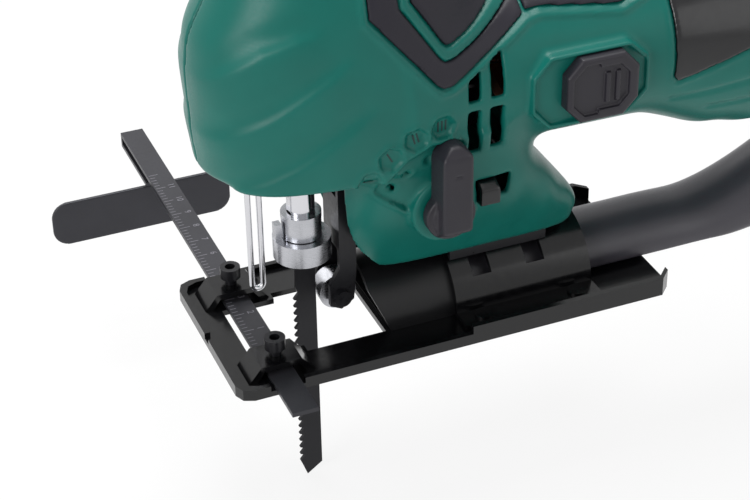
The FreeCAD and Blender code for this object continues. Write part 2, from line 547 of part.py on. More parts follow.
brushes, holders = [], []
for side in (-1, 1):
    ends = ("%s * (commutator_dia / 2 + slide_gap)" % side, "%s * (commutator_dia / 2 + 13)" % side)
    outer = ("%s * (commutator_dia / 2 + 3)" % side, "%s * (commutator_dia / 2 + 14.5)" % side)
    ends, outer = (ends, outer) if side > 0 else (ends[::-1], outer[::-1])
    middle = "commutator_at + commutator_long / 2"
    brushes.append(box(("%s - 3" % middle, "%s + 3" % middle), ends, ("motor_axis - 4.5",
                                                                      "motor_axis + 4.5")))
    sleeve = box(("%s - 4.6" % middle, "%s + 6" % middle), outer, ("motor_axis - 6", "motor_axis + 6"))
    hollow = box(("%s - 3.1" % middle, "%s + 3.1" % middle), ("-30", "30"),
                 ("motor_axis - 4.6", "motor_axis + 4.6"))
    holders.append(cut(sleeve, hollow))
for name, pieces in (("carbon_brushes", brushes), ("brush_holders", holders)):
    group = doc.addObject("Part::Compound", "group")
    group.Links = pieces
    keep(name, group)

# ---------------------------------------------------------------- pendulum action
ROLLER_X = "blade_back + roller_dia / 2 + slide_gap"
fork_side = [("%s - 4" % ROLLER_X, "roller_z - 3"), ("%s - 4" % ROLLER_X, "roller_z + 5"),
             ("fork_front", "roller_z + 11"), ("fork_front", "pivot_z - 4"), ("pivot_at - 3",
                                                                              "pivot_z + 4"),
             ("pivot_at + 3", "pivot_z + 4"), ("knob_at - 5", "knob_z + 3"), ("knob_at - 5", "knob_z - 3"),
             ("pivot_at + 4", "pivot_z - 6"), ("fork_front + fork_deep", "pivot_z - 12"),
             ("fork_front + fork_deep", "roller_z + 13"), ("%s + 5.5" % ROLLER_X, "roller_z + 8"),
             ("%s + 4.5" % ROLLER_X, "roller_z - 2"), (ROLLER_X, "roller_z - 5")]
sides = [pad("xz", fork_side, low, high) for low, high in
         (("-fork_half", "-fork_half + fork_sheet"), ("fork_half - fork_sheet", "fork_half"))]
back_web = box(("fork_front", "fork_front + fork_sheet"), ("-fork_half", "fork_half"),
               ("roller_z + 18", "pivot_z - 12"))
tail_web = box(("knob_at - 7", "knob_at - 5"), ("-fork_half", "fork_half"), ("knob_z - 3", "knob_z + 3"))
pin_bore = rod("y", "pin_dia / 2 + run_gap", "-20", "20", ("pivot_at", "pivot_z"))
roller_bore = rod("y", "pin_dia / 2", "-20", "20", (ROLLER_X, "roller_z"))
keep("roller_fork", cut(fuse(back_web, tail_web, *sides), pin_bore, roller_bore))
pin = rod("y", "pin_dia / 2", "-fork_half - 1", "fork_half + 1", (ROLLER_X, "roller_z"))
pin_head = rod("y", "pin_dia / 2 + 1", "-fork_half - 2", "-fork_half", (ROLLER_X, "roller_z"))
keep("roller_pin", fuse(pin, pin_head))
roller = rod("y", "roller_dia / 2", "-roller_wide / 2", "roller_wide / 2", (ROLLER_X, "roller_z"))
keep("guide_roller", cut(roller, rod("y", "pin_dia / 2 + run_gap", "-20", "20", (ROLLER_X, "roller_z"))))
SPRING_AT = ("fork_front + fork_sheet + 1.8", "0")
coil = cut(rod("z", "1.6", "roller_z + 19", "pivot_z - 12", SPRING_AT), rod("z", "0.9", "0", "80",
                                                                            SPRING_AT))
keep("fork_spring", coil)

KNOB = ("knob_at", "knob_z")
disc = rod("y", "knob_dia / 2", "-knob_face - 5", "-knob_face - slide_gap", KNOB)
lever = pad("xz", [("knob_at - lever_wide / 2", "knob_z - 4"), ("knob_at - lever_wide / 2",
                                                                "knob_z + lever_top - 4"),
                   ("knob_at - lever_wide / 2 + 3", "knob_z + lever_top"),
                   ("knob_at + lever_wide / 2 - 3", "knob_z + lever_top"),
                   ("knob_at + lever_wide / 2", "knob_z + lever_top - 4"), ("knob_at + lever_wide / 2",
                                                                            "knob_z - 4")],
            "-knob_out", "-knob_face - 3.5")
keep("pendulum_knob", fuse(disc, lever))
spindle = rod("y", "3.5", "-knob_face - slide_gap", "-fork_half - 1", KNOB)
cam = cut(rod("y", "3.5", "-fork_half - 1", "fork_half + 1", KNOB),
          box(("knob_at + 1.5", "knob_at + 5"), ("-10", "10"), ("knob_z - 5", "knob_z + 5")))
keep("pendulum_cam", fuse(spindle, cam))

# ---------------------------------------------------------------- housing
# Each stack of ovals is (place along the stack, front or middle, rear or half height, half width, power).
HEAD = [(69, -33.6, 62, 33.3, 2.1), (85, -35.2, 64, 33.8, 2.2), (105, -35.7, 64, 33.8, 2.2),
        (118, -33.5, 62, 33.0, 2.2), (132, -28.0, 58, 30.5, 2.2), (144, -20.0, 52, 26.0, 2.1),
        (152, -10.0, 44, 18.0, 2.0), (157, 2.0, 32, 8.0, 2.0)]
BARREL = [(34, 92, 29.0, 31.0, 2.0), (62, 91, 29.5, 32.0, 2.0), (82, 90.4, 30.0, 32.0, 2.0),
          (100, 90, 30.0, 32.0, 2.0), (116, 90, 30.0, 32.0, 2.0), (126, 88.4, 32.0, 32.5, 2.0), (137, 86,
                                                                                                 35.0,
                                                                                                 33.0,
                                                                                                 2.0),
                                                                                                 (165, 83,
                                                                                                  37.0,
                                                                                                  34.0,
                                                                                                  2.0),
                                                                                                  (186,
                                                                                                   84,
                                                                                                   33.0,
                                                                                                   30.5,
                                                                                                   2.0),
          (198, 85, 25.0, 23.0, 2.0)]
FOOT = [(24.2, 18.5, 96.0, 15.0, 5.0), (34, 12.5, 96.6, 19.0, 5.0), (46, 10.0, 88.0, 25.0, 4.5),
        (58, 10.0, 77.0, 30.0, 4.0), (76, 8.0, 68.0, 32.0, 3.5)]


def flat_oval(height, front, rear, half_width, power, count=36):
    """A closed super-ellipse curve lying flat at the given height, from front to rear."""
    middle, half = (front + rear) / 2, (rear - front) / 2
    points = []
    for index in range(count):
        angle = 2 * math.pi * index / count
        c, s = math.cos(angle), math.sin(angle)
        points.append(FreeCAD.Vector(middle + half * math.copysign(abs(c) ** (2 / power), c),
                                     half_width * math.copysign(abs(s) ** (2 / power), s), height))
    curve = Part.BSplineCurve()
    curve.interpolate(points, PeriodicFlag=True)
    return Part.Wire([curve.toShape()])


def skin(inset):
    """The housing's outer form moved inwards by inset: head, motor barrel and foot in one solid."""
    head = [flat_oval(place, front + inset, rear - inset, half - inset, power)
            for place, front, rear, half, power in HEAD]
    head[0] = flat_oval(size["head_bottom"] + inset, HEAD[0][1] + inset, HEAD[0][2] - inset,
                        HEAD[0][3] - inset, HEAD[0][4])
    top = HEAD[-1]
    head[-1] = flat_oval(top[0] - inset, top[1] + inset, top[2] - inset, top[3] - inset / 2, top[4])
    barrel = [oval(place, middle, half_y - inset, half_z - inset, power)
              for place, middle, half_z, half_y, power in BARREL[:-1]]
    place, middle, half_z, half_y, power = BARREL[-1]
    barrel.append(oval(place - inset, middle, half_y - inset, half_z - inset, power))
    foot = [flat_oval(size["foot_bottom"] + inset if index == 0 else place, front + inset, rear - inset,
                      half - inset, power) for index, (place, front, rear, half, power) in enumerate(FOOT)]
    solids = [Part.makeLoft(wires, True, False, False, LOFT_DEGREE) for wires in (head, barrel, foot)]
    return solids[0].fuse(solids[1]).fuse(solids[2])


def block(x, y, z):
    """A plain block between number bounds."""
    return Part.makeBox(x[1] - x[0], y[1] - y[0], z[1] - z[0], FreeCAD.Vector(x[0], y[0], z[0]))


def round_bar(axis, radius, low, high, across):
    """A plain cylinder along the named axis."""
    direction = FreeCAD.Vector(*[1 if name == axis else 0 for name in "xyz"])
    base = dict(zip([name for name in "xyz" if name != axis], across))
    base[axis] = low
    return Part.makeCylinder(radius, high - low, FreeCAD.Vector(base["x"], base["y"], base["z"]), direction)


def prism(corners, y):
    """An upright outline in X and Z, drawn through the tool between two values of Y."""
    points = [FreeCAD.Vector(x, y[0], z) for x, z in corners]
    return Part.Face(Part.makePolygon(points + points[:1])).extrude(FreeCAD.Vector(0, y[1] - y[0], 0))


wall, gap = size["wall"], size["seat_gap"]
axis_z, plate_front = size["motor_axis"], size["gear_case_plate"]
plate_rear = plate_front + size["plate_thick"]
case_half, case_top, arm = size["case_half"], size["case_top"], size["lower_arm"]
core_front, core_rear = size["core_front"], size["core_front"] + size["core_long"]
com_rear = size["commutator_at"] + size["commutator_long"]
bearing_front = size["rear_bearing_at"]
bearing_rear = bearing_front + size["bearing_wide"]
brush_plate = size["commutator_at"] + size["commutator_long"] / 2 + 6

outer, inner = skin(0), skin(wall)
pad_low, pad_high = size["switch_at"] - 26, size["switch_at"] + 17
switch_half = size["switch_high"] / 2
switch_x = (size["switch_at"] - size["switch_long"] / 2, size["switch_at"] + size["switch_long"] / 2)
seat = block((pad_low, pad_high), (-size["switch_pad"], -20), (axis_z - switch_half - 3,
                                                               axis_z + switch_half + 3))
knob_seat = round_bar("y", size["knob_dia"] / 2 + 3, -size["knob_face"], -15, (size["knob_at"],
                                                                               size["knob_z"]))
shell = outer.fuse(seat).fuse(knob_seat).cut(inner)

# ribs across the inside carry the gear case, the stator, the brushes, the rear bearing and the switch
ribs = []
for low, high, hole in (
        (plate_front + 1, plate_front + 5,
         block((0, 60), (-case_half - gap, case_half + gap), (arm - 6 - gap, case_top + gap)).fuse(
             block((0, 60), (-size["carrier_half"] - gap, size["carrier_half"] + gap), (20, arm)))),
        (core_front + 4, core_front + 7, round_bar("x", size["stator_dia"] / 2 + gap, 60, 150, (0,
                                                                                                axis_z))),
        (core_rear - 7, core_rear - 4, round_bar("x", size["stator_dia"] / 2 + gap, 60, 150, (0, axis_z))),
        (brush_plate + gap, brush_plate + 2.6, round_bar("x", size["commutator_dia"] / 2 + 1.5, 130, 170,
                                                         (0, axis_z))),
        (bearing_front, bearing_rear, round_bar("x", size["rear_bearing_dia"] / 2 + 0.02, 150, 175, (0,
                                                                                                     axis_z))),
        (187, 189.2, round_bar("x", 12, 180, 195, (0, axis_z)))):
    slab = inner.common(block((low, high), (-50, 50), (0, 170)))
    ribs.append(slab.cut(hole))
screw_spots = [(-25, 96), (44, 134), (70, 54), (136, 113), (136, 60), (180, 64)]
bosses = [inner.common(round_bar("y", size["boss_dia"] / 2, -50, 50, spot)) for spot in screw_spots]
for piece in ribs + bosses:
    shell = shell.fuse(piece)

link_z = (axis_z - 4, axis_z + 4)
link_low = size["switch_at"] + 2
recess = block((pad_low + 1.5, pad_high - 1), (-size["switch_pad"] - 1, -size["switch_pad"] + 1.7),
               (axis_z - switch_half - 1, axis_z + switch_half + 1))
travel = size["switch_travel"]
slot = block((size["switch_at"] - 7 - travel, size["switch_at"] + 7), (-40, -24), (link_z[0] - 0.5,
                                                                                   link_z[1] + 0.5))
link_way = block((core_front - 4, 187), (-size["link_out"] - 0.3, -size["stator_dia"] / 2 - 0.2),
                 (link_z[0] - 0.5, link_z[1] + 0.5))
hook_way = block((bearing_front - 3, bearing_rear + 1), (-size["link_out"] - 0.3, -14), (link_z[0] - 0.5,
                                                                                        link_z[1] + 0.5))
nose_hole = block((-23, 12.6), (-11.5, 11.5), (60, 72))
fork_rear = size["fork_front"] + size["fork_deep"]
fork_way = block((0, fork_rear + 3), (-size["fork_half"] - 2.5, size["fork_half"] + 2.5), (15, arm)).fuse(
    block((0, size["pivot_at"] + 4), (-size["fork_half"] - 4.4, size["fork_half"] + 4.4),
          (size["pivot_z"] - 6, arm)))
carrier_way = block((plate_rear, size["carrier_rear"] + 1), (-size["carrier_half"] - 0.5,
                                                             size["carrier_half"] + 0.5),
                    (20, 30))
cam_hole = round_bar("y", 3.5 + size["run_gap"], -45, -12, (size["knob_at"], size["knob_z"]))
gland_hole = round_bar("x", 8.05, 180, 210, (0, 84))
dial_way = block((169.6, 186.4), (-2.6, 2.6), (104, 130))
blower_way = block((49.5, 62), (-40, -18), (51.5, 60.5))
vents = []
for low, high, top in ((45.8, 50.0, 101.5), (53.9, 58.3, 108.5)):
    for z in ((72.5, 86.8), (90.5, top)):
        vents.append(block((low, high), (-60, 60), z))
for tool in [recess, slot, link_way, hook_way, nose_hole, fork_way, carrier_way, cam_hole, gland_hole,
             dial_way,
             blower_way] + vents:
    shell = shell.cut(tool)

screws = []
for x, z in screw_spots:
    bore = round_bar("y", size["screw_dia"] / 2, -16, 50, (x, z))
    face = max(vertex.Y for vertex in outer.common(round_bar("y", 1, 0, 50, (x, z))).Vertexes)
    sink = round_bar("y", size["screw_head_dia"] / 2 + 0.2, face - 6, 60, (x, z))
    shell = shell.cut(bore).cut(sink)
    screws.append(round_bar("y", size["screw_dia"] / 2, -15.5, face - 6, (x, z)).fuse(
        round_bar("y", size["screw_head_dia"] / 2, face - 6, face - 3, (x, z))))

# rubber inlays and bare panels lie on the skin, each over an outline drawn in X and Z
puffed = skin(-size["inlay"])
INLAY = [(12.5, 133), (12.5, 125.5), (34.2, 99.4), (38.5, 97.6), (44, 99.8), (49.9, 103), (58.4, 107.1),
         (69, 112.4), (69, 150), (14, 150)]
PANEL = [(119, 112), (119, 84), (121, 81.5), (150, 90), (178, 92), (178, 106), (150, 113)]
BAND = [(69.3, 112.5), (74, 113.2), (102, 110), (118, 114.5), (150, 118.5), (176, 114), (176, 130), (69.3, 130)]
for name, corners, y in (("side_grip_left", INLAY, (-50, -6)), ("side_grip_right", INLAY, (6, 50)),
                         ("side_panel_left", PANEL, (-50, -10)), ("side_panel_right", PANEL, (10, 50)),
                         ("top_grip", BAND, (-28, 28))):
    inlay = puffed.common(prism(corners, y)).cut(outer).cut(dial_way).cut(seat)
    solids = sorted(inlay.Solids, key=lambda solid: solid.Volume)
    keep(name, shape_feature(solids[-1]))

for name, side in (("housing_left", -1), ("housing_right", 1)):
    half = shell.common(block((-60, 230), (min(0, side * 60), max(0, side * 60)), (0, 180)))
    solids = sorted(half.Solids, key=lambda solid: solid.Volume)
    keep(name, shape_feature(solids[-1]))
keep("housing_screws", shape_feature(Part.makeCompound(screws)))

# ---------------------------------------------------------------- foot carrier
carrier = box(("carrier_front", "carrier_rear"), ("-carrier_half", "carrier_half"), ("10", "carrier_top"))
tongue = box(("gear_case_plate + plate_thick", "carrier_front"), ("-carrier_half", "carrier_half"),
             ("foot_bottom + 4", "carrier_top"))
under = rod("x", "saddle_dia / 2 + slide_gap", "0", "120", ("0", TILT_Z))
flat = box(("0", "120"), ("-40", "40"), ("0", "20"))
tapped = [rod("z", "tilt_screw_dia / 2 + run_gap", "0", "carrier_top - 7",
              ("tilt_screw_front + %s * tilt_screw_pitch" % turn, "0")) for turn in ("0", "1")]
keep("base_carrier", cut(fuse(carrier, tongue), under, flat, *tapped))

# ---------------------------------------------------------------- switch, dial, blower slide, cord gland
LINK = ("motor_axis - 4", "motor_axis + 4")
button_outline = [("switch_at - switch_long / 2", "motor_axis - switch_high / 4"),
                  ("switch_at - switch_long / 2", "motor_axis + switch_high / 4"),
                  ("switch_at - switch_long / 3.4", "motor_axis + switch_high / 2"),
                  ("switch_at + switch_long / 3.4", "motor_axis + switch_high / 2"),
                  ("switch_at + switch_long / 2", "motor_axis + switch_high / 4"),
                  ("switch_at + switch_long / 2", "motor_axis - switch_high / 4"),
                  ("switch_at + switch_long / 3.4", "motor_axis - switch_high / 2"),
                  ("switch_at - switch_long / 3.4", "motor_axis - switch_high / 2")]
button = pad("xz", button_outline, "-switch_face", "-switch_pad + 1.7 - slide_gap")
tongue = box(("switch_at - 6", "switch_at + 6"), ("-switch_pad", "-link_out + 1.4"), LINK)
link = box(("switch_at - 6", "171.5"), ("-link_out", "-link_out + 1.8"), LINK)
hook = box(("169.5", "171.5"), ("-link_out", "-16"), LINK)
keep("switch_slide", fuse(button, tongue, link, hook))
keep("switch_module", box(("172", "186.8"), ("-24", "-11"), ("motor_axis - 10", "motor_axis + 7")))

wheel = rod("y", "8", "-2", "2", ("178", "112"))
keep("speed_dial", cut(wheel, rod("y", "2 + run_gap", "-5", "5", ("178", "112"))))
board = box(("170", "186.8"), ("3.5", "5"), ("94", "110"))
keep("speed_board", fuse(board, box(("175", "181"), ("3.5", "5"), ("94", "114.5")),
                         rod("y", "2", "-2.4", "4", ("178", "112"))))

slider = box(("50", "57"), ("-33", "-18"), ("52", "60"))
flat = box(("47.5", "59.5"), ("-20", "-18"), ("49.5", "62.5"))
keep("blower_slide", fuse(slider, flat))

gland = fuse(rod("x", "8", "193", "214", ("0", "84")), rod("x", "10.5", "191.5", "195.2", ("0", "84")),
             rod("x", "9", "198.2", "203", ("0", "84")))
keep("cord_gland", cut(gland, rod("x", "3.6", "180", "230", ("0", "84"))))

# ---------------------------------------------------------------- check and write
doc.recompute()
for thing in doc.Objects:
    if "Invalid" in thing.State or "Error" in thing.State:
        raise RuntimeError("%s (%s) did not build: %s" % (thing.Name, thing.Label, thing.State))
os.makedirs("parts", exist_ok=True)
for name, thing in parts:
    if thing.Shape.isNull() or not thing.Shape.isValid() or not thing.Shape.Solids:
        raise RuntimeError("%s has no valid shape" % name)
for name, thing in parts:
    thing.Shape.exportStep("parts/%s.step" % name)
    print("%-22s solids %d  volume %10.1f" % (name, len(thing.Shape.Solids), thing.Shape.Volume))
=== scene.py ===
import math

import bpy
import numpy as np
from mathutils import Matrix, Vector


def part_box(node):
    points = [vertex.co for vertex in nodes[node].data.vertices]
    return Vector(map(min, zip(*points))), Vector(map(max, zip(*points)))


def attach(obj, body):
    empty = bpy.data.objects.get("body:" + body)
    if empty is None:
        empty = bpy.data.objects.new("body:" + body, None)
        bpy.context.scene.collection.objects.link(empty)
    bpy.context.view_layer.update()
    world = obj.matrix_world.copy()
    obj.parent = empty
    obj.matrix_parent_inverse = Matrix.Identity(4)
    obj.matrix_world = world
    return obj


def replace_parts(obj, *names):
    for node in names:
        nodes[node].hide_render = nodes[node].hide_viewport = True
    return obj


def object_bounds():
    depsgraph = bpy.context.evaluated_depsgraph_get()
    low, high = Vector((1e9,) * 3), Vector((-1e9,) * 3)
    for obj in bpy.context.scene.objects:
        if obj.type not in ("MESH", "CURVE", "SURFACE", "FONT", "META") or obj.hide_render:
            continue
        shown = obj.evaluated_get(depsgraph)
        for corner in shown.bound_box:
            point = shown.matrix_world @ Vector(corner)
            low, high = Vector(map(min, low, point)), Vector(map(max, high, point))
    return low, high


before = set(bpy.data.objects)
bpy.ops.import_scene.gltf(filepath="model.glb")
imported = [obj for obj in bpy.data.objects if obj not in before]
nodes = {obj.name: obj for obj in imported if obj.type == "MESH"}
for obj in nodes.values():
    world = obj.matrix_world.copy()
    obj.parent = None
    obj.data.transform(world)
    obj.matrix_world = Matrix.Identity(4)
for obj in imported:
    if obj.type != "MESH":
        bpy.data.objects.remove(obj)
cad_low, cad_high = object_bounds()
MM = 0.001
PITCH = 0.85


# ------------------------------------------------------------------ finishes
def ink(red, green, blue):
    """A display colour, 0 to 255, as the linear colour that a shader takes."""
    shares = [value / 255 for value in (red, green, blue)]
    linear = [share / 12.92 if share <= 0.04045 else ((share + 0.055) / 1.055) ** 2.4 for share in shares]
    return (*linear, 1.0)


def finish(name, colour, rough, metal=0.0, grain=900, depth=0.02, cloud=60, tint=0.12, coat=0.0, stretch=None,
           shine=0.5):
    """A moulded, painted or machined finish on Object coordinates.  Slow noise shifts the colour and the
    roughness, fine noise gives the grain, and stretch draws the grain out along an axis."""
    material = bpy.data.materials.new(name)
    material.use_nodes = True
    tree = material.node_tree
    shader = tree.nodes["Principled BSDF"]
    shader.inputs["Metallic"].default_value = metal
    shader.inputs["Specular IOR Level"].default_value = shine
    if coat:
        shader.inputs["Coat Weight"].default_value = coat
        shader.inputs["Coat Roughness"].default_value = 0.12
    place = tree.nodes.new("ShaderNodeTexCoord")
    turn = tree.nodes.new("ShaderNodeMapping")
    turn.inputs["Scale"].default_value = stretch or (1, 1, 1)
    tree.links.new(place.outputs["Object"], turn.inputs["Vector"])
    slow = tree.nodes.new("ShaderNodeTexNoise")
    slow.inputs["Scale"].default_value = cloud
    slow.inputs["Detail"].default_value = 4
    fine = tree.nodes.new("ShaderNodeTexNoise")
    fine.inputs["Scale"].default_value = grain
    fine.inputs["Detail"].default_value = 3
    tree.links.new(place.outputs["Object"], slow.inputs["Vector"])
    tree.links.new(turn.outputs["Vector"], fine.inputs["Vector"])
    shade = tree.nodes.new("ShaderNodeValToRGB")
    dark, light = 1 - tint, 1 + tint
    shade.color_ramp.elements[0].position, shade.color_ramp.elements[1].position = 0.3, 0.7
    shade.color_ramp.elements[0].color = (*[c * dark for c in colour[:3]], 1)
    shade.color_ramp.elements[1].color = (*[min(1, c * light) for c in colour[:3]], 1)
    tree.links.new(slow.outputs["Fac"], shade.inputs["Fac"])
    tree.links.new(shade.outputs["Color"], shader.inputs["Base Color"])
    spread = tree.nodes.new("ShaderNodeMapRange")
    spread.inputs["From Min"].default_value, spread.inputs["From Max"].default_value = 0.25, 0.75
    spread.inputs["To Min"].default_value, spread.inputs["To Max"].default_value = rough
    tree.links.new(fine.outputs["Fac"], spread.inputs["Value"])
    tree.links.new(spread.outputs["Result"], shader.inputs["Roughness"])
    bump = tree.nodes.new("ShaderNodeBump")
    bump.inputs["Strength"].default_value = 0.35
    bump.inputs["Distance"].default_value = depth * MM
    tree.links.new(fine.outputs["Fac"], bump.inputs["Height"])
    tree.links.new(bump.outputs["Normal"], shader.inputs["Normal"])
    return material


GREEN = finish("green_moulding", ink(12, 102, 92), (0.3, 0.42), grain=1400, depth=0.03, tint=0.05,
               shine=0.26)
RUBBER = finish("grip_rubber", ink(33, 31, 40), (0.42, 0.56), grain=1800, depth=0.05, tint=0.08,
                shine=0.3)
GLOSS = finish("gloss_panel", ink(13, 13, 16), (0.16, 0.24), grain=500, depth=0.004, tint=0.1)
KNOB = finish("knob_moulding", ink(38, 36, 43), (0.34, 0.46), grain=1200, depth=0.03, tint=0.08,
              shine=0.35)
BLACK = finish("black_moulding", ink(16, 16, 18), (0.3, 0.42), grain=1200, depth=0.03, tint=0.1, shine=0.35)
TUBE = finish("tube_moulding", ink(62, 60, 67), (0.3, 0.42), grain=1300, depth=0.03, tint=0.06)
PAINT = finish("black_paint", ink(11, 11, 13), (0.14, 0.26), grain=420, depth=0.02, tint=0.12, coat=0.15,
               shine=0.35)
OXIDE = finish("black_oxide", ink(26, 26, 30), (0.26, 0.4), metal=0.35, grain=700, depth=0.02, tint=0.1)
BAR = finish("bar_oxide", ink(52, 52, 57), (0.34, 0.48), metal=0.45, grain=600, depth=0.02, tint=0.1)
BLADE = finish("blade_oxide", ink(26, 26, 30), (0.3, 0.46), metal=0.5, grain=500, depth=0.02, tint=0.12)
CHROME = finish("plated_steel", ink(214, 214, 218), (0.1, 0.2), metal=1.0, grain=300, depth=0.004, tint=0.04)
STEEL = finish("turned_steel", ink(188, 189, 194), (0.2, 0.36), metal=1.0, grain=500, depth=0.01, tint=0.06,
               stretch=(1, 1, 14))
CAST = finish("cast_alloy", ink(168, 170, 172), (0.42, 0.6), metal=0.9, grain=500, depth=0.08, tint=0.06)
IRON = finish("stacked_iron", ink(120, 121, 125), (0.4, 0.6), metal=0.8, grain=300, depth=0.05, tint=0.1,
              stretch=(9, 1, 1))
COPPER = finish("wound_copper", ink(176, 98, 60), (0.3, 0.45), metal=0.9, grain=700, depth=0.08, tint=0.12,
                stretch=(1, 8, 8))
BRONZE = finish("sintered_bronze", ink(170, 140, 92), (0.45, 0.6), metal=0.9, grain=900, depth=0.05)
CARBON = finish("pressed_carbon", ink(40, 40, 42), (0.6, 0.8), grain=800, depth=0.04)
BOARD = finish("circuit_board", ink(30, 84, 52), (0.35, 0.5), grain=400, depth=0.02)

DARK_MARK = finish("sunk_figures", ink(12, 44, 42), (0.5, 0.6), tint=0.05)
BAR_MARK = finish("bar_figures", ink(120, 118, 126), (0.4, 0.5), tint=0.05)

WORN = {
    GREEN: ["housing_left", "housing_right"],
    RUBBER: ["side_grip_left", "side_grip_right", "top_grip", "cord_gland"],
    GLOSS: ["side_panel_left", "side_panel_right"],
    KNOB: ["pendulum_knob", "switch_slide", "speed_dial"],
    BLACK: ["dust_mouth", "blower_slide", "switch_module", "brush_holders", "cooling_fan"],
    TUBE: ["dust_tube"],
    PAINT: ["sole_plate", "saddle", "saddle_rivets"],
    OXIDE: ["roller_fork", "roller_pin", "fork_spring", "pivot_pin", "guide_screw_left", "guide_screw_right",
            "tilt_screw_front", "tilt_screw_rear", "housing_screws", "base_carrier"],
    BAR: ["guide_bar", "guide_fence"],
    BLADE: ["saw_blade"],
    CHROME: ["plunger", "guard_wire"],
    STEEL: ["blade_clamp", "clamp_collar", "clamp_washer", "clamp_spring", "plunger_yoke", "crank_pin",
            "motor_shaft", "gear_axle", "front_bearing", "rear_bearing", "guide_roller", "pendulum_cam",
            "crank_gear"],
    CAST: ["gear_case"],
    IRON: ["armature_core", "stator"],
    COPPER: ["field_coils", "commutator"],
    BRONZE: ["lower_bush", "upper_bush"],
    CARBON: ["carbon_brushes"],
    BOARD: ["speed_board"],
}


def wear(thing, material):
    """Puts one finish on an object."""
    thing.data.materials.clear()
    thing.data.materials.append(material)


for material, names in WORN.items():
    for name in names:
        if name in nodes:
            wear(nodes[name], material)
for name, thing in nodes.items():
    if not any(name in names for names in WORN.values()):
        wear(thing, OXIDE)


# ------------------------------------------------------------------ making and placing pieces
def add_piece(name, points, faces, material, body, smooth=True):
    """A mesh object at the origin from arrays of corners, in millimetres, and faces."""
    mesh = bpy.data.meshes.new(name)
    mesh.from_pydata((np.asarray(points) * MM).tolist(), [], [list(map(int, face)) for face in faces])
    mesh.validate()
    mesh.polygons.foreach_set("use_smooth", [smooth] * len(mesh.polygons))
    mesh.update()
    thing = bpy.data.objects.new(name, mesh)
    bpy.context.scene.collection.objects.link(thing)
    wear(thing, material)
    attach(thing, body)
    return thing


# ------------------------------------------------------------------ forms as distance fields
def melt(first, second, reach):
    """The union of two distance fields with a fillet of about reach: their lower value, less a parabola where
    they differ by less than reach."""
    share = np.clip(reach - np.abs(first - second), 0, None) / reach
    return np.minimum(first, second) - share * share * reach / 4


def meet(first, second, reach):
    """The overlap of two distance fields with its edge rounded by about reach."""
    return -melt(-first, -second, reach)


def outline(corners, x, z):
    """Signed distance from points (x, z) to a closed outline: the nearest edge's distance, negative inside by
    the even and odd rule."""
    x, z = np.broadcast_arrays(x, z)
    nearest, inside = np.full(x.shape, 1e9), np.zeros(x.shape, bool)
    for (ax, az), (bx, bz) in zip(corners, corners[1:] + corners[:1]):
        run_x, run_z = bx - ax, bz - az
        share = np.clip(((x - ax) * run_x + (z - az) * run_z) / (run_x ** 2 + run_z ** 2), 0, 1)
        nearest = np.minimum(nearest, (x - ax - share * run_x) ** 2 + (z - az - share * run_z) ** 2)
        if az != bz:
            crosses = ((az > z) != (bz > z)) & (x < ax + (z - az) * run_x / run_z)
            inside ^= crosses
    return np.where(inside, -1, 1) * np.sqrt(nearest)


def ramp(distance, width):
    """1 well inside an outline and 0 outside it, turning smoothly over width."""
    share = np.clip(0.5 - distance / width, 0, 1)
    return share * share * (3 - 2 * share)


def ridge(distance, at, width):
    """A bell of height 1 where distance equals at."""
    return np.exp(-((distance - at) / width) ** 2)


def wrap(field, low, pitch):
    """The surface where a field on a grid turns negative: one point in each grid cell that it crosses, at the
    mean of the crossings of the cell's twelve edges, and one quad round each crossed edge, facing outwards."""
    shape = np.array(field.shape) - 1
    total = np.zeros((*shape, 3), np.float32)
    count = np.zeros(shape, np.float32)
    inside = field < 0
    crossed = []
    for axis in range(3):
        first = np.take(field, range(field.shape[axis] - 1), axis)
        second = np.take(field, range(1, field.shape[axis]), axis)
        in_first = np.take(inside, range(field.shape[axis] - 1), axis)
        in_second = np.take(inside, range(1, field.shape[axis]), axis)
        where = np.argwhere(in_first != in_second)
        a, b = first[tuple(where.T)], second[tuple(where.T)]
        spot = where.astype(np.float32)
        spot[:, axis] += a / (a - b)
        others = [other for other in range(3) if other != axis]
        for back in ((0, 0), (1, 0), (0, 1), (1, 1)):
            cell = where.copy()
            cell[:, others[0]] -= back[0]
            cell[:, others[1]] -= back[1]
            fits = ((cell >= 0) & (cell < shape)).all(1)
            index = np.ravel_multi_index(tuple(cell[fits].T), tuple(shape))
            count.ravel()[:] += np.bincount(index, minlength=count.size).astype(np.float32)
            for part in range(3):
                total[..., part].reshape(-1)[:] += 0
                sums = np.bincount(index, weights=spot[fits][:, part], minlength=count.size)
                total[..., part] += sums.reshape(shape).astype(np.float32)
        crossed.append((axis, others, where, in_first[tuple(where.T)]))
    number = np.full(shape, -1, np.int64)
    used = count > 0
    number[used] = np.arange(used.sum())
    points = total[used] / count[used][:, None] * pitch + np.asarray(low)
    faces = []
    for axis, others, where, starts_inside in crossed:
        u, v = others
        fits = (where[:, u] > 0) & (where[:, v] > 0) & (where[:, u] < shape[u]) & (where[:, v] < shape[v])
        where, starts_inside = where[fits], starts_inside[fits]
        ring = []
        for back_u, back_v in ((1, 1), (0, 1), (0, 0), (1, 0)):
            cell = where.copy()
            cell[:, u] -= back_u
            cell[:, v] -= back_v
            ring.append(number[tuple(cell.T)])
        quads = np.stack(ring, 1)
        flip = starts_inside if axis == 1 else ~starts_inside
        quads[flip] = quads[flip][:, ::-1]
        faces.append(quads)
    return points, np.concatenate(faces)


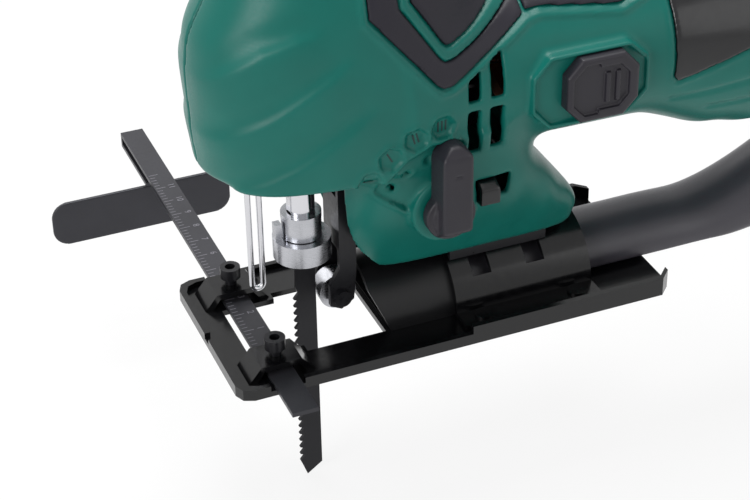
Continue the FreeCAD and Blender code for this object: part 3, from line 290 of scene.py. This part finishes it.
# ------------------------------------------------------------------ housing form
HEAD = np.array([(60, -33.0, 62, 33.0, 2.1), (69, -33.6, 62, 33.3, 2.1), (85, -35.2, 64, 33.8, 2.2),
                 (105, -35.7, 64, 33.8, 2.2), (116, -34.6, 62, 33, 2.2), (127, -28.6, 58, 31.5, 2.2),
                 (144, -20, 52, 26, 2.1), (152, -10, 44, 18, 2.0), (157, 2, 32, 8, 2.0)])
BARREL = np.array([(34, 92, 29.0, 31.0), (62, 91, 29.5, 32.0), (82, 90.4, 30.0, 32.0), (116, 90, 30.0, 32.0),
                   (126, 88.4, 32.0, 32.5), (137, 86, 35, 33), (165, 83, 37, 34), (186, 84, 33, 30.5),
                   (198, 85, 25, 23)])
FOOT = np.array([(24.2, 18.5, 96.0, 15.0, 5.0), (34, 12.5, 96.6, 19.0, 5.0), (46, 10.0, 88.0, 25.0, 4.5),
                 (58, 10.0, 77.0, 30.0, 4.0), (76, 8, 68, 32, 3.5)])
HEAD_BOTTOM, HEAD_TOP, FOOT_BOTTOM, REAR_END, WALL = 69.0, 157.0, 24.2, 198.0, 2.5
MOTOR_Z, KNOB_X, KNOB_Z = 89.0, 38.5, 53.0
INLAY = [(12.5, 152), (12.5, 125.5), (34.2, 99.4), (36.5, 97.6), (39.5, 97.6), (44, 99.8), (49.9, 103), (58.4, 107.1),
         (69, 112.4), (69, 140), (50, 152)]
BAND_V_OUTER = [(23.4, 160), (23.4, 127.4), (36.3, 108.4), (38.0, 106.9), (41.0, 107.2), (48.8, 109.9), (62.7, 115.8),
                (80, 124), (80, 160)]
BAND_V_INNER = [(26.2, 160), (26.4, 128.2), (37.0, 112.2), (38.4, 110.8), (40.6, 110.9), (48.0, 113.4), (61.5, 119.2),
                (80, 128), (80, 160)]
GRIP_SPLIT = 69.2
PANEL = [(119, 112), (119, 84), (121, 81.5), (150, 90), (178, 92), (178, 106), (150, 113)]
TOP_BAND = [(69.3, 112.5), (74, 113.2), (102, 110), (118, 114.5), (150, 118.5), (176, 114), (176, 130), (69.3, 130)]
NOSE_RIDGES = [[(-36, 104), (-29.4, 109.5), (-18.8, 117.6), (-9, 121.5), (0, 123)],
               [(-36, 84.5), (-29.7, 88.0), (-17.4, 95.6), (-3.5, 105.8), (4.1, 110.9), (9, 114)],
               [(-30, 66), (-23.6, 69.5), (-10.1, 78.2), (6.8, 90.2), (15.9, 96.0)]]
SECTOR = [(15.6, 62.5), (18.4, 69.5), (23.6, 75.2), (30.5, 78.7), (38.5, 79.8), (44.2, 77.8), (45.5, 62),
          (46, 46), (37.3, 44.6), (30.1, 51.4)]
DIMPLES = [(32.0, 73.4), (24.8, 69.6), (20.9, 63.8)]
INDEX_RADIUS, INDEX_MARKS = 31.8, (("0", 147), ("I", 129), ("II", 111), ("III", 94))
VENTS = [[(45.9, 90.4), (49.8, 90.4), (49.8, 100.4), (45.9, 98.2)], [(45.9, 72.6), (49.8, 72.6), (49.8, 86.9),
         (45.9, 86.9)], [(54.0, 90.4), (58.0, 90.4), (58.0, 105.0), (54.0, 102.8)], [(54.0, 73.0), (58.0, 73.0),
         (58.0, 86.9), (54.0, 86.9)]]
SWITCH_PAD = (66.5, 108.5, 34.5)
SCREW_SPOTS = [(-25, 96), (44, 134), (70, 54), (136, 113), (136, 60), (180, 64)]


def rows(table, at, column):
    """A column of a table of sections at every place: straight lines between rows, then eased by a running
    mean of seven millimetres."""
    fine = np.arange(table[0, 0] - 8, table[-1, 0] + 8, 0.5)
    value = np.interp(fine, table[:, 0], table[:, column])
    for _ in range(2):
        value = np.convolve(np.pad(value, 7, "edge"), np.full(15, 1 / 15), "valid")
    return np.interp(at, fine, value)


def upright_form(table, x, y, z, shift):
    """A body of super-ellipse sections up Z: share = (|x'/half_x|^p + |y/half_y|^p)^(1/p) - 1."""
    front, rear, half, power = [rows(table, z, column) for column in (1, 2, 3, 4)]
    middle, half_x = (front + rear) / 2, (rear - front) / 2 - shift
    half = half - shift
    share = (np.abs((x - middle) / half_x) ** power + np.abs(y / half) ** power) ** (1 / power) - 1
    return share * np.minimum(half_x, half)


def lying_form(table, x, y, z, shift):
    """A body of elliptical sections along X."""
    middle, half_z, half_y = [rows(table, x, column) for column in (1, 2, 3)]
    half_z, half_y = half_z - shift, half_y - shift
    return (np.sqrt(((z - middle) / half_z) ** 2 + (y / half_y) ** 2) - 1) * np.minimum(half_z, half_y)


def true_distance(field, pitch):
    """Field divided by the length of its own gradient, which makes it a distance near its surface."""
    steps = np.gradient(field, pitch)
    length = np.sqrt(sum(step * step for step in steps))
    return field / np.clip(length, 0.35, None)


def body_form(x, y, z, pitch, inset):
    """The head, barrel and foot run together, moved inwards by inset."""
    head = meet(true_distance(upright_form(HEAD, x, y, z, 0), pitch), HEAD_BOTTOM - z, 3.0)
    head = meet(head, z - HEAD_TOP, 3.0)
    barrel = true_distance(lying_form(BARREL, x, y, z, 0), pitch)
    barrel = meet(barrel, x - REAR_END, 4.0)
    barrel = np.maximum(barrel, 30 - x)
    foot = true_distance(upright_form(FOOT, x, y, z, 0), pitch)
    foot = meet(foot, FOOT_BOTTOM - z, 3.0)
    foot = np.maximum(foot, z - 78)
    return melt(melt(head, foot, 5.0), barrel, 9.0) + inset


def slanted(corners, x, z):
    """Distance from an open line of corners, its side (positive above), and the share of its length."""
    best, side, along = np.full(np.broadcast(x, z).shape, 1e9), 0.0, 0.0
    lengths = [math.dist(a, b) for a, b in zip(corners, corners[1:])]
    done = 0.0
    for (a, b), length in zip(zip(corners, corners[1:]), lengths):
        run_x, run_z = (b[0] - a[0]) / length, (b[1] - a[1]) / length
        reach = np.clip((x - a[0]) * run_x + (z - a[1]) * run_z, 0, length)
        apart = np.sqrt((x - a[0] - reach * run_x) ** 2 + (z - a[1] - reach * run_z) ** 2)
        over = np.sign((z - a[1]) * run_x - (x - a[0]) * run_z)
        closer = apart < best
        best = np.where(closer, apart, best)
        side = np.where(closer, over, side)
        along = np.where(closer, (done + reach) / sum(lengths), along)
        done += length
    return best * side, along


def nose_relief(x, z):
    """Sweeping ridges: each rises in a short bell above its line and sinks in a long one below it, and fades
    towards its upper end."""
    height = 0.0
    for corners in NOSE_RIDGES:
        apart, along = slanted(corners, x, z)
        fade = np.clip((1 - along) / 0.2, 0, 1)
        height = height + fade * (1.15 * np.exp(-np.where(apart < 0, apart / 9, apart / 1.7) ** 2)
                                  - 0.4 * np.exp(-((apart - 4.2) / 3) ** 2))
    return height


def hexagon(cx, cz, radius, turn):
    """Six corners round a point."""
    return [(cx + radius * math.cos(math.radians(turn + 60 * k)), cz + radius * math.sin(math.radians(turn + 60 * k)))
            for k in range(6)]


def mark_place(degrees):
    """The place of an index mark on its arc round the knob."""
    return (KNOB_X + INDEX_RADIUS * math.cos(math.radians(degrees)),
            KNOB_Z + INDEX_RADIUS * math.sin(math.radians(degrees)))


def grip_outline(x, z):
    """Signed distance to the side grip and the top grip taken as one."""
    return np.minimum(outline(INLAY, x, z), outline(TOP_BAND, x, z))


def side_relief(x, z, left):
    """How far the skin stands out at each (x, z) of one side: ridges, beds of the inlays with their rims, and
    on the left the dial's sector, its dimples and the index plates."""
    height = nose_relief(x, z)
    inlay = grip_outline(x, z)
    band = np.maximum(outline(BAND_V_OUTER, x, z), -outline(BAND_V_INNER, x, z))
    height += 0.8 * ridge(inlay, 1.3, 1.0) - 0.9 * ramp(inlay, 0.8) + 1.7 * ramp(band, 0.9) * ramp(inlay + 2, 1)
    panel = outline(PANEL, x, z)
    height += 0.35 * ridge(panel, 1.0, 0.7) - 0.8 * ramp(panel, 0.7)
    for groove in ([(121, 73.6), (150.8, 77.6)], [(136, 67.2), (151.6, 68.5)]):
        apart, _ = slanted(groove, x, z)
        height -= 0.7 * np.exp(-(apart / 1.1) ** 2)
    flutes = np.clip((62 - z) / 16, 0, 1) * np.clip((z - 27) / 6, 0, 1)
    height += flutes * 0.35 * np.cos(2 * np.pi * (x - 20) / 15) * (x > 47)
    if left:
        sector = outline(SECTOR, x, z)
        height = height - 1.2 * ramp(sector, 0.9) + 0.5 * ridge(sector, 1.1, 0.9) * (x < 42)
        for dx, dz in DIMPLES:
            apart = np.sqrt((x - dx) ** 2 + (z - dz) ** 2)
            height -= 0.9 * np.exp(-(apart / 1.5) ** 4) - 0.25 * ridge(apart, 2.3, 0.6)
        for _, degrees in INDEX_MARKS:
            plate = outline(hexagon(*mark_place(degrees), 4.1, degrees - 90), x, z)
            height += 0.45 * ridge(plate, 0.9, 0.7) - 0.9 * ramp(plate, 0.7)
    return height


def slab(x, y, z, x_range, y_range, z_range):
    """Distance field of a block: the farthest of its six sides."""
    field = -1e9
    for value, (low, high) in ((x, x_range), (y, y_range), (z, z_range)):
        if low is not None:
            field = np.maximum(field, low - value)
        if high is not None:
            field = np.maximum(field, value - high)
    return field


def make_housing(pitch):
    """Both half shells, the grips and the panels, all from one form with its skin moved in and out."""
    low = np.array([-38.0, -40.0, 22.0])
    counts = np.ceil((np.array([200.0, 40.0, 159.0]) - low) / pitch).astype(int)
    x = (low[0] + pitch * np.arange(counts[0], dtype=np.float32))[:, None, None]
    y = (low[1] + pitch * np.arange(counts[1], dtype=np.float32))[None, :, None]
    z = (low[2] + pitch * np.arange(counts[2], dtype=np.float32))[None, None, :]
    form = body_form(x, y, z, pitch, 0.0).astype(np.float32)
    pad = meet(slab(x, y, z, (SWITCH_PAD[0], SWITCH_PAD[1]), (-SWITCH_PAD[2], 0), (76.0, 102.0)),
               outline([(66.5, 83), (66.5, 95), (73, 102), (101, 102), (108.5, 95), (108.5, 83), (101, 76),
                        (73, 76)], x, z), 1.0)
    knob_seat = np.maximum(np.sqrt((x - KNOB_X) ** 2 + (z - KNOB_Z) ** 2) - 11.5, np.maximum(-31.0 - y, y + 15))
    hollow = form + WALL
    cuts = [slab(x, y, z, (-23, 12.6), (-11.5, 11.5), (None, 74)),
            slab(x, y, z, (-5, 21), (-13, 13), (None, 62)),
            slab(x, y, z, (20, 96), (-12.5, 12.5), (None, 30)),
            slab(x, y, z, (49.5, 62), (None, -18), (51.5, 60.5)),
            slab(x, y, z, (169.6, 186.4), (-2.6, 2.6), (104, None)),
            np.maximum(np.sqrt(y * y + (z - 84) ** 2) - 8.05, 180 - x),
            np.maximum(np.maximum(np.sqrt((x - KNOB_X) ** 2 + (z - KNOB_Z) ** 2) - 3.6, y + 12), -45 - y)]
    for corners in VENTS:
        cuts.append(np.maximum(outline(corners, x, z) - 0.2, 12 - np.abs(y)))
    made = []
    for name, side in (("left", -1), ("right", 1)):
        near = slice(0, int(np.searchsorted(y.ravel(), 2.0))) if side < 0 else slice(
            int(np.searchsorted(y.ravel(), -2.0)), counts[1])
        y_part = y[:, near]
        relief = side_relief(x[:, 0], z[:, 0], side < 0)[:, None, :]
        fade = np.where(z[:, 0] > 108, 1.0, 0.0)[:, None, :]
        fade = np.maximum(fade * (x > 20), np.clip((np.abs(y_part) - 2) / 16, 0.15, 1))
        skin = form[:, near] - relief.astype(np.float32) * fade
        solid = skin
        if side < 0:
            solid = melt(solid, pad[:, near], 2.0)
            solid = melt(solid, knob_seat[:, near], 1.5)
        for cut in cuts:
            cut = np.broadcast_to(cut, form.shape)[:, near]
            solid = meet(solid, -cut, 0.8)
        if side < 0:
            recess = outline([(67.8, 84), (67.8, 94.5), (73.5, 100.5), (100.5, 100.5), (107.2, 94.5), (107.2, 84),
                              (100.5, 77.5), (73.5, 77.5)], x, z)
            solid = meet(solid, -np.maximum(recess, y_part + SWITCH_PAD[2] - 1.7), 0.6)
        else:
            for sx, sz in SCREW_SPOTS:
                face = form[int((sx - low[0]) / pitch), :, int((sz - low[2]) / pitch)]
                depth = y.ravel()[np.nonzero(face < 0)[0].max()] - 6
                sink = np.maximum(np.sqrt((x - sx) ** 2 + (z - sz) ** 2) - 3.7, depth - y_part)
                solid = meet(solid, -sink, 0.6)
        shell = np.maximum(solid, -hollow[:, near])
        shell = np.maximum(shell, side * -y_part + 0.12)
        points, faces = wrap(shell, low + np.array([0, near.start * pitch, 0]), pitch)
        half = add_piece("shell_" + name, points, faces, GREEN, "root")
        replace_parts(half, "housing_" + name)
        made.append(half)
        inlay = np.maximum(grip_outline(x, z), x - GRIP_SPLIT - 0.4)
        bared = np.maximum(outline(BAND_V_OUTER, x, z), -outline(BAND_V_INNER, x, z))
        for label, region, material, slot in (
                ("side_grip_", np.maximum(inlay + 0.35, 0.45 - bared), RUBBER, "black_rubber"),
                ("side_panel_", outline(PANEL, x, z) + 0.3, GLOSS, "panel_plastic")):
            cover = meet(meet(form[:, near] - 0.35, region, 0.9), 0 - side * y_part + 8, 0.6)
            cover = np.maximum(cover, -(form[:, near] + 1.4))
            if label == "side_grip_":
                cover = np.maximum(cover, z - 150)
            points, faces = wrap(cover, low + np.array([0, near.start * pitch, 0]), pitch)
            cap = add_piece(label.rstrip("_") + "_skin_" + name, points, faces, material, "root")
            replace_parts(cap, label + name)
    on_top = np.maximum(grip_outline(x, z) + 0.35, GRIP_SPLIT - x)
    cover = np.maximum(meet(form - 0.4, on_top, 0.9), -(form + 1.2))
    cover = np.maximum(cover, -slab(x, y, z, (169.0, 187.0), (-3.2, 3.2), (104, None)))
    points, faces = wrap(cover, low, pitch)
    cap = add_piece("top_grip_skin", points, faces, RUBBER, "root")
    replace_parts(cap, "top_grip")
    return made


SHELL_LEFT = make_housing(PITCH)[0]


# ------------------------------------------------------------------ controls
def carve(name, low, high, pitch, form, material, body):
    """A piece whose surface is where form(x, y, z) turns negative on a grid between two corners."""
    low = np.array(low, float)
    counts = np.ceil((np.array(high) - low) / pitch).astype(int) + 1
    axes = [low[k] + pitch * np.arange(counts[k], dtype=np.float32) for k in range(3)]
    x, y, z = axes[0][:, None, None], axes[1][None, :, None], axes[2][None, None, :]
    points, faces = wrap(np.broadcast_to(form(x, y, z), counts).astype(np.float32), low, pitch)
    return add_piece(name, points, faces, material, body)


def octagon(half_x, half_z, cut_x, cut_z, cx, cz):
    """A rectangle with its corners cut off."""
    return [(cx - half_x, cz - half_z + cut_z), (cx - half_x, cz + half_z - cut_z), (cx - half_x + cut_x, cz + half_z),
            (cx + half_x - cut_x, cz + half_z), (cx + half_x, cz + half_z - cut_z), (cx + half_x, cz - half_z + cut_z),
            (cx + half_x - cut_x, cz - half_z), (cx - half_x + cut_x, cz - half_z)]


def slide_form(x, y, z):
    """The switch's slide: an octagon with a bevel, a raised rim that steps in over its rear half, a sunken
    face and two upright grip ribs."""
    cx, face = 90.3, -37.5
    body = meet(outline(octagon(12.9, 11.3, 5.2, 5.6, cx, MOTOR_Z), x, z), face - y, 1.6)
    body = np.maximum(body, y + 32.8)
    waist = np.where(x > cx - 1.5, 1.4, 0.0)
    inner = outline(octagon(10.6, 9.0, 4.2, 4.4, cx, MOTOR_Z), x, z) + waist
    well = meet(inner, y - (face + 1.3), 0.4)
    body = meet(body, -well, 0.4)
    for at in (cx + 1.6, cx + 5.2):
        rib = meet(np.abs(x - at) - 0.85, np.abs(z - MOTOR_Z) - 5.4, 0.6)
        body = melt(body, np.maximum(meet(rib, face + 0.1 - y, 0.5), y + 34), 0.3)
    return body


def knob_form(x, y, z):
    """The pendulum knob: a stepped disc and a drafted bar across it whose top end is cut off aslant."""
    ring = np.sqrt((x - KNOB_X) ** 2 + (z - KNOB_Z) ** 2)
    disc = melt(meet(ring - 8.5, -35.4 - y, 0.9), meet(ring - 6.8, -36.3 - y, 0.6), 0.5)
    draft = (y + 41) * 0.05
    bar = meet(np.abs(x - KNOB_X) - 5.1 - draft, np.maximum(z - 80 - draft, KNOB_Z - 3.5 - z - (y + 41) * 0.5), 1.6)
    bar = meet(bar, (z - 80) * 0.62 + (-41 - y) * 0.62 + 1.7, 1.0)
    bar = meet(bar, np.abs(x - KNOB_X) * 0.71 + (z - 80) * 0.71 - 1.6, 1.0)
    bar = meet(bar, -41 - y, 1.3)
    both = np.maximum(melt(disc, bar, 0.8), y + 31.3)
    dash = np.maximum(np.maximum(np.abs(x - KNOB_X) - 1.1, np.abs(z - 70.5) - 0.3), y + 40.5)
    return np.maximum(both, -dash)


def blower_form(x, y, z):
    """The blower slide's button: a block with soft edges whose top slopes down towards the user."""
    block = meet(slab(x, y, z, (50, 57), (-33, -19), None or (52, 60)), (z - 60) * 0.8 - (y + 29) * 0.5, 1.0)
    return meet(block, -33 - y, 1.2)


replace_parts(carve("switch_slide_button", (75, -39, 75), (106, -31.5, 103), 0.35, slide_form, KNOB, "switch_body"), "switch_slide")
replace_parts(carve("pendulum_knob_bar", (28, -42, 43), (49, -30, 82), 0.45, knob_form, KNOB, "knob_body"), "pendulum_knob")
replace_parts(carve("blower_button", (49, -34, 51), (58, -18, 61.5), 0.35, blower_form, GLOSS, "blower_body"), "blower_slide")


# ------------------------------------------------------------------ marks
def flat_text(name, words, height, material, body, place, turn):
    """Raised figures made a thin mesh, turned and put in place."""
    curve = bpy.data.curves.new(name, "FONT")
    curve.body, curve.size, curve.extrude = words, height * MM, 0.06 * MM
    curve.align_x, curve.align_y = "CENTER", "CENTER"
    curve.resolution_u = 3
    draft = bpy.data.objects.new(name + "_draft", curve)
    bpy.context.scene.collection.objects.link(draft)
    bpy.context.view_layer.update()
    mesh = bpy.data.meshes.new_from_object(draft)
    bpy.data.objects.remove(draft)
    mesh.transform(Matrix.Translation(Vector(place) * MM) @ turn)
    mesh.name = name
    thing = bpy.data.objects.new(name, mesh)
    bpy.context.scene.collection.objects.link(thing)
    wear(thing, material)
    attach(thing, body)
    return thing


def index_marks():
    """The figures on the plates round the pendulum knob, sunk a little in the skin and turned with the arc."""
    for words, degrees in INDEX_MARKS:
        mx, mz = mark_place(degrees)
        hit, spot, out, _ = SHELL_LEFT.ray_cast(Vector((mx, -60, mz)) * MM, Vector((0, 1, 0)))
        lean = math.radians(degrees - 90) * 0.75
        rise = Vector((-math.sin(lean), 0, math.cos(lean)))
        side = rise.cross(out).normalized()
        turn = Matrix((side, out.cross(side), out)).transposed().to_4x4()
        flat_text("index_" + words.lower(), words, 5.4, DARK_MARK, "root",
                  spot / MM + out * 0.02, turn)


def bar_scale():
    """Millimetre lines and figures on top of the guide bar, counted from the blade."""
    low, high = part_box("guide_bar")
    top = nodes_top("guide_bar", 60) / MM
    left, right = low[0] / MM, high[0] / MM
    points, faces = [], []
    for step in range(0, 121, 2):
        y = -12 + step
        long = 3.6 if step % 10 == 0 else 2.0
        base = len(points)
        for dx, dy, dz in ((0, -0.13, 0), (long, -0.13, 0), (long, 0.13, 0), (0, 0.13, 0)):
            points.append((left + 0.4 + dx, y + dy, top + 0.03 + dz))
        for dx, dy in ((0, -0.13), (long, -0.13), (long, 0.13), (0, 0.13)):
            points.append((left + 0.4 + dx, y + dy, top - 0.15))
        faces += [[base, base + 1, base + 2, base + 3], [base + 7, base + 6, base + 5, base + 4]]
        faces += [[base + k, base + 4 + k, base + 4 + (k + 1) % 4, base + (k + 1) % 4] for k in range(4)]
    add_piece("bar_scale_lines", points, faces, BAR_MARK, "guide_body", smooth=False)
    for count in range(1, 12):
        flat_text("bar_figure_%d" % count, str(count), 3.4, BAR_MARK, "guide_body",
                  (left + 6.3, -12 + 10 * count, top), Matrix.Rotation(math.radians(-90), 4, "Z"))


def nodes_top(name, y):
    """The height of a node's top face: the highest of its corners above zero. The place along Y that it is given is
    not used.
    """
    node = nodes[name]
    spot = [v.co.z for v in node.data.vertices if v.co.z > 0]
    return max(spot)


def fence_form(x, y, z):
    """The parallel guide's fence: a thin upright plate with round corners."""
    low, high = [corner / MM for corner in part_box("guide_fence")]
    corner = 6.5
    dx = np.abs(x - (low[0] + high[0]) / 2) - (high[0] - low[0]) / 2 + corner
    dz = np.abs(z - (low[2] + high[2]) / 2) - (high[2] - low[2]) / 2 + corner
    ring = np.sqrt(np.maximum(dx, 0) ** 2 + np.maximum(dz, 0) ** 2) + np.minimum(np.maximum(dx, dz), 0) - corner
    return meet(ring, np.abs(y - (low[1] + high[1]) / 2) - (high[1] - low[1]) / 2, 0.35)


def make_fence():
    """The fence, in place of its plain plate."""
    low, high = [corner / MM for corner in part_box("guide_fence")]
    edge = Vector((1, 1, 1))
    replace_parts(carve("fence_plate", low - edge, high + edge, 0.4, fence_form, BAR, "guide_body"),
                "guide_fence")


make_fence()
index_marks()
bar_scale()


# ------------------------------------------------------------------ floor, light and camera
def make_floor():
    """A wide pale floor under the lowest point, seen white by the camera and by reflections."""
    half, level = 3.0, cad_low[2]
    mesh = bpy.data.meshes.new("floor")
    mesh.from_pydata([(-half, -half, level), (half, -half, level), (half, half, level), (-half, half, level)],
                     [], [(0, 1, 2, 3)])
    floor = bpy.data.objects.new("floor", mesh)
    bpy.context.scene.collection.objects.link(floor)
    material = bpy.data.materials.new("pale_floor")
    material.use_nodes = True
    tree = material.node_tree
    shader = tree.nodes["Principled BSDF"]
    shader.inputs["Base Color"].default_value = (0.9, 0.9, 0.9, 1)
    shader.inputs["Roughness"].default_value = 0.9
    glow = tree.nodes.new("ShaderNodeEmission")
    seen_by(tree, shader.outputs["BSDF"], glow.outputs["Emission"], tree.nodes["Material Output"], 0.86)
    floor.data.materials.append(material)


def seen_by(tree, plain, bright, output, most):
    """Mixes a plain shader with a bright one for camera, glossy and transmission rays."""
    path = tree.nodes.new("ShaderNodeLightPath")
    first = tree.nodes.new("ShaderNodeMath")
    second = tree.nodes.new("ShaderNodeMath")
    scale = tree.nodes.new("ShaderNodeMath")
    first.operation = second.operation = "MAXIMUM"
    scale.operation = "MULTIPLY"
    scale.inputs[1].default_value = most
    mix = tree.nodes.new("ShaderNodeMixShader")
    tree.links.new(path.outputs["Is Camera Ray"], first.inputs[0])
    tree.links.new(path.outputs["Is Glossy Ray"], first.inputs[1])
    tree.links.new(first.outputs[0], second.inputs[0])
    tree.links.new(path.outputs["Is Transmission Ray"], second.inputs[1])
    tree.links.new(second.outputs[0], scale.inputs[0])
    tree.links.new(scale.outputs[0], mix.inputs["Fac"])
    tree.links.new(plain, mix.inputs[1])
    tree.links.new(bright, mix.inputs[2])
    tree.links.new(mix.outputs["Shader"], output.inputs["Surface"])


def make_world():
    """A dim even world that the camera sees as white."""
    world = bpy.data.worlds.new("studio")
    world.use_nodes = True
    bpy.context.scene.world = world
    tree = world.node_tree
    plain = tree.nodes["Background"]
    plain.inputs["Color"].default_value = (1, 1, 1, 1)
    plain.inputs["Strength"].default_value = 0.34
    white = tree.nodes.new("ShaderNodeBackground")
    white.inputs["Strength"].default_value = 1.0
    seen_by(tree, plain.outputs[0], white.outputs[0], tree.nodes["World Output"], 1.0)


def add_light(name, place, target, size, power):
    """A soft square lamp that faces a point."""
    data = bpy.data.lights.new(name, "AREA")
    data.shape, data.size, data.energy = "SQUARE", size, power
    lamp = bpy.data.objects.new(name, data)
    bpy.context.scene.collection.objects.link(lamp)
    lamp.location = place
    lamp.rotation_euler = (Vector(target) - Vector(place)).to_track_quat("-Z", "Y").to_euler()


def make_camera():
    """The camera on the near left, above the tool, looking down and to the right."""
    heading, dip, roll = math.radians(23.431), math.radians(31.407), math.radians(-0.175)
    ahead = Vector((math.sin(heading) * math.cos(dip), math.cos(heading) * math.cos(dip), -math.sin(dip)))
    right = Vector((math.cos(heading), -math.sin(heading), 0))
    up = right.cross(ahead)
    right, up = (right * math.cos(roll) + up * math.sin(roll), up * math.cos(roll) - right * math.sin(roll))
    data = bpy.data.cameras.new("camera")
    data.lens, data.sensor_width = 94.5, 36
    data.shift_x, data.shift_y = -0.0659, -0.0802
    data.clip_start, data.clip_end = 0.01, 20
    camera = bpy.data.objects.new("camera", data)
    bpy.context.scene.collection.objects.link(camera)
    turn = Matrix((right, up, -ahead)).transposed().to_4x4()
    camera.matrix_world = Matrix.Translation(Vector((-180.44, -518.42, 386.77)) * MM) @ turn
    bpy.context.scene.camera = camera


make_floor()
make_world()
middle = (0.05, 0, 0.06)
add_light("top_softbox", (0.1, 0.25, 1.1), middle, 0.7, 11)
add_light("front_softbox", (-1.0, -0.5, 0.5), middle, 0.5, 6)
add_light("right_softbox", (0.9, -0.9, 0.5), middle, 0.7, 1.6)
add_light("back_softbox", (-0.3, 1.1, 0.6), middle, 0.9, 3)
make_camera()
bpy.context.scene.view_settings.view_transform = "Standard"
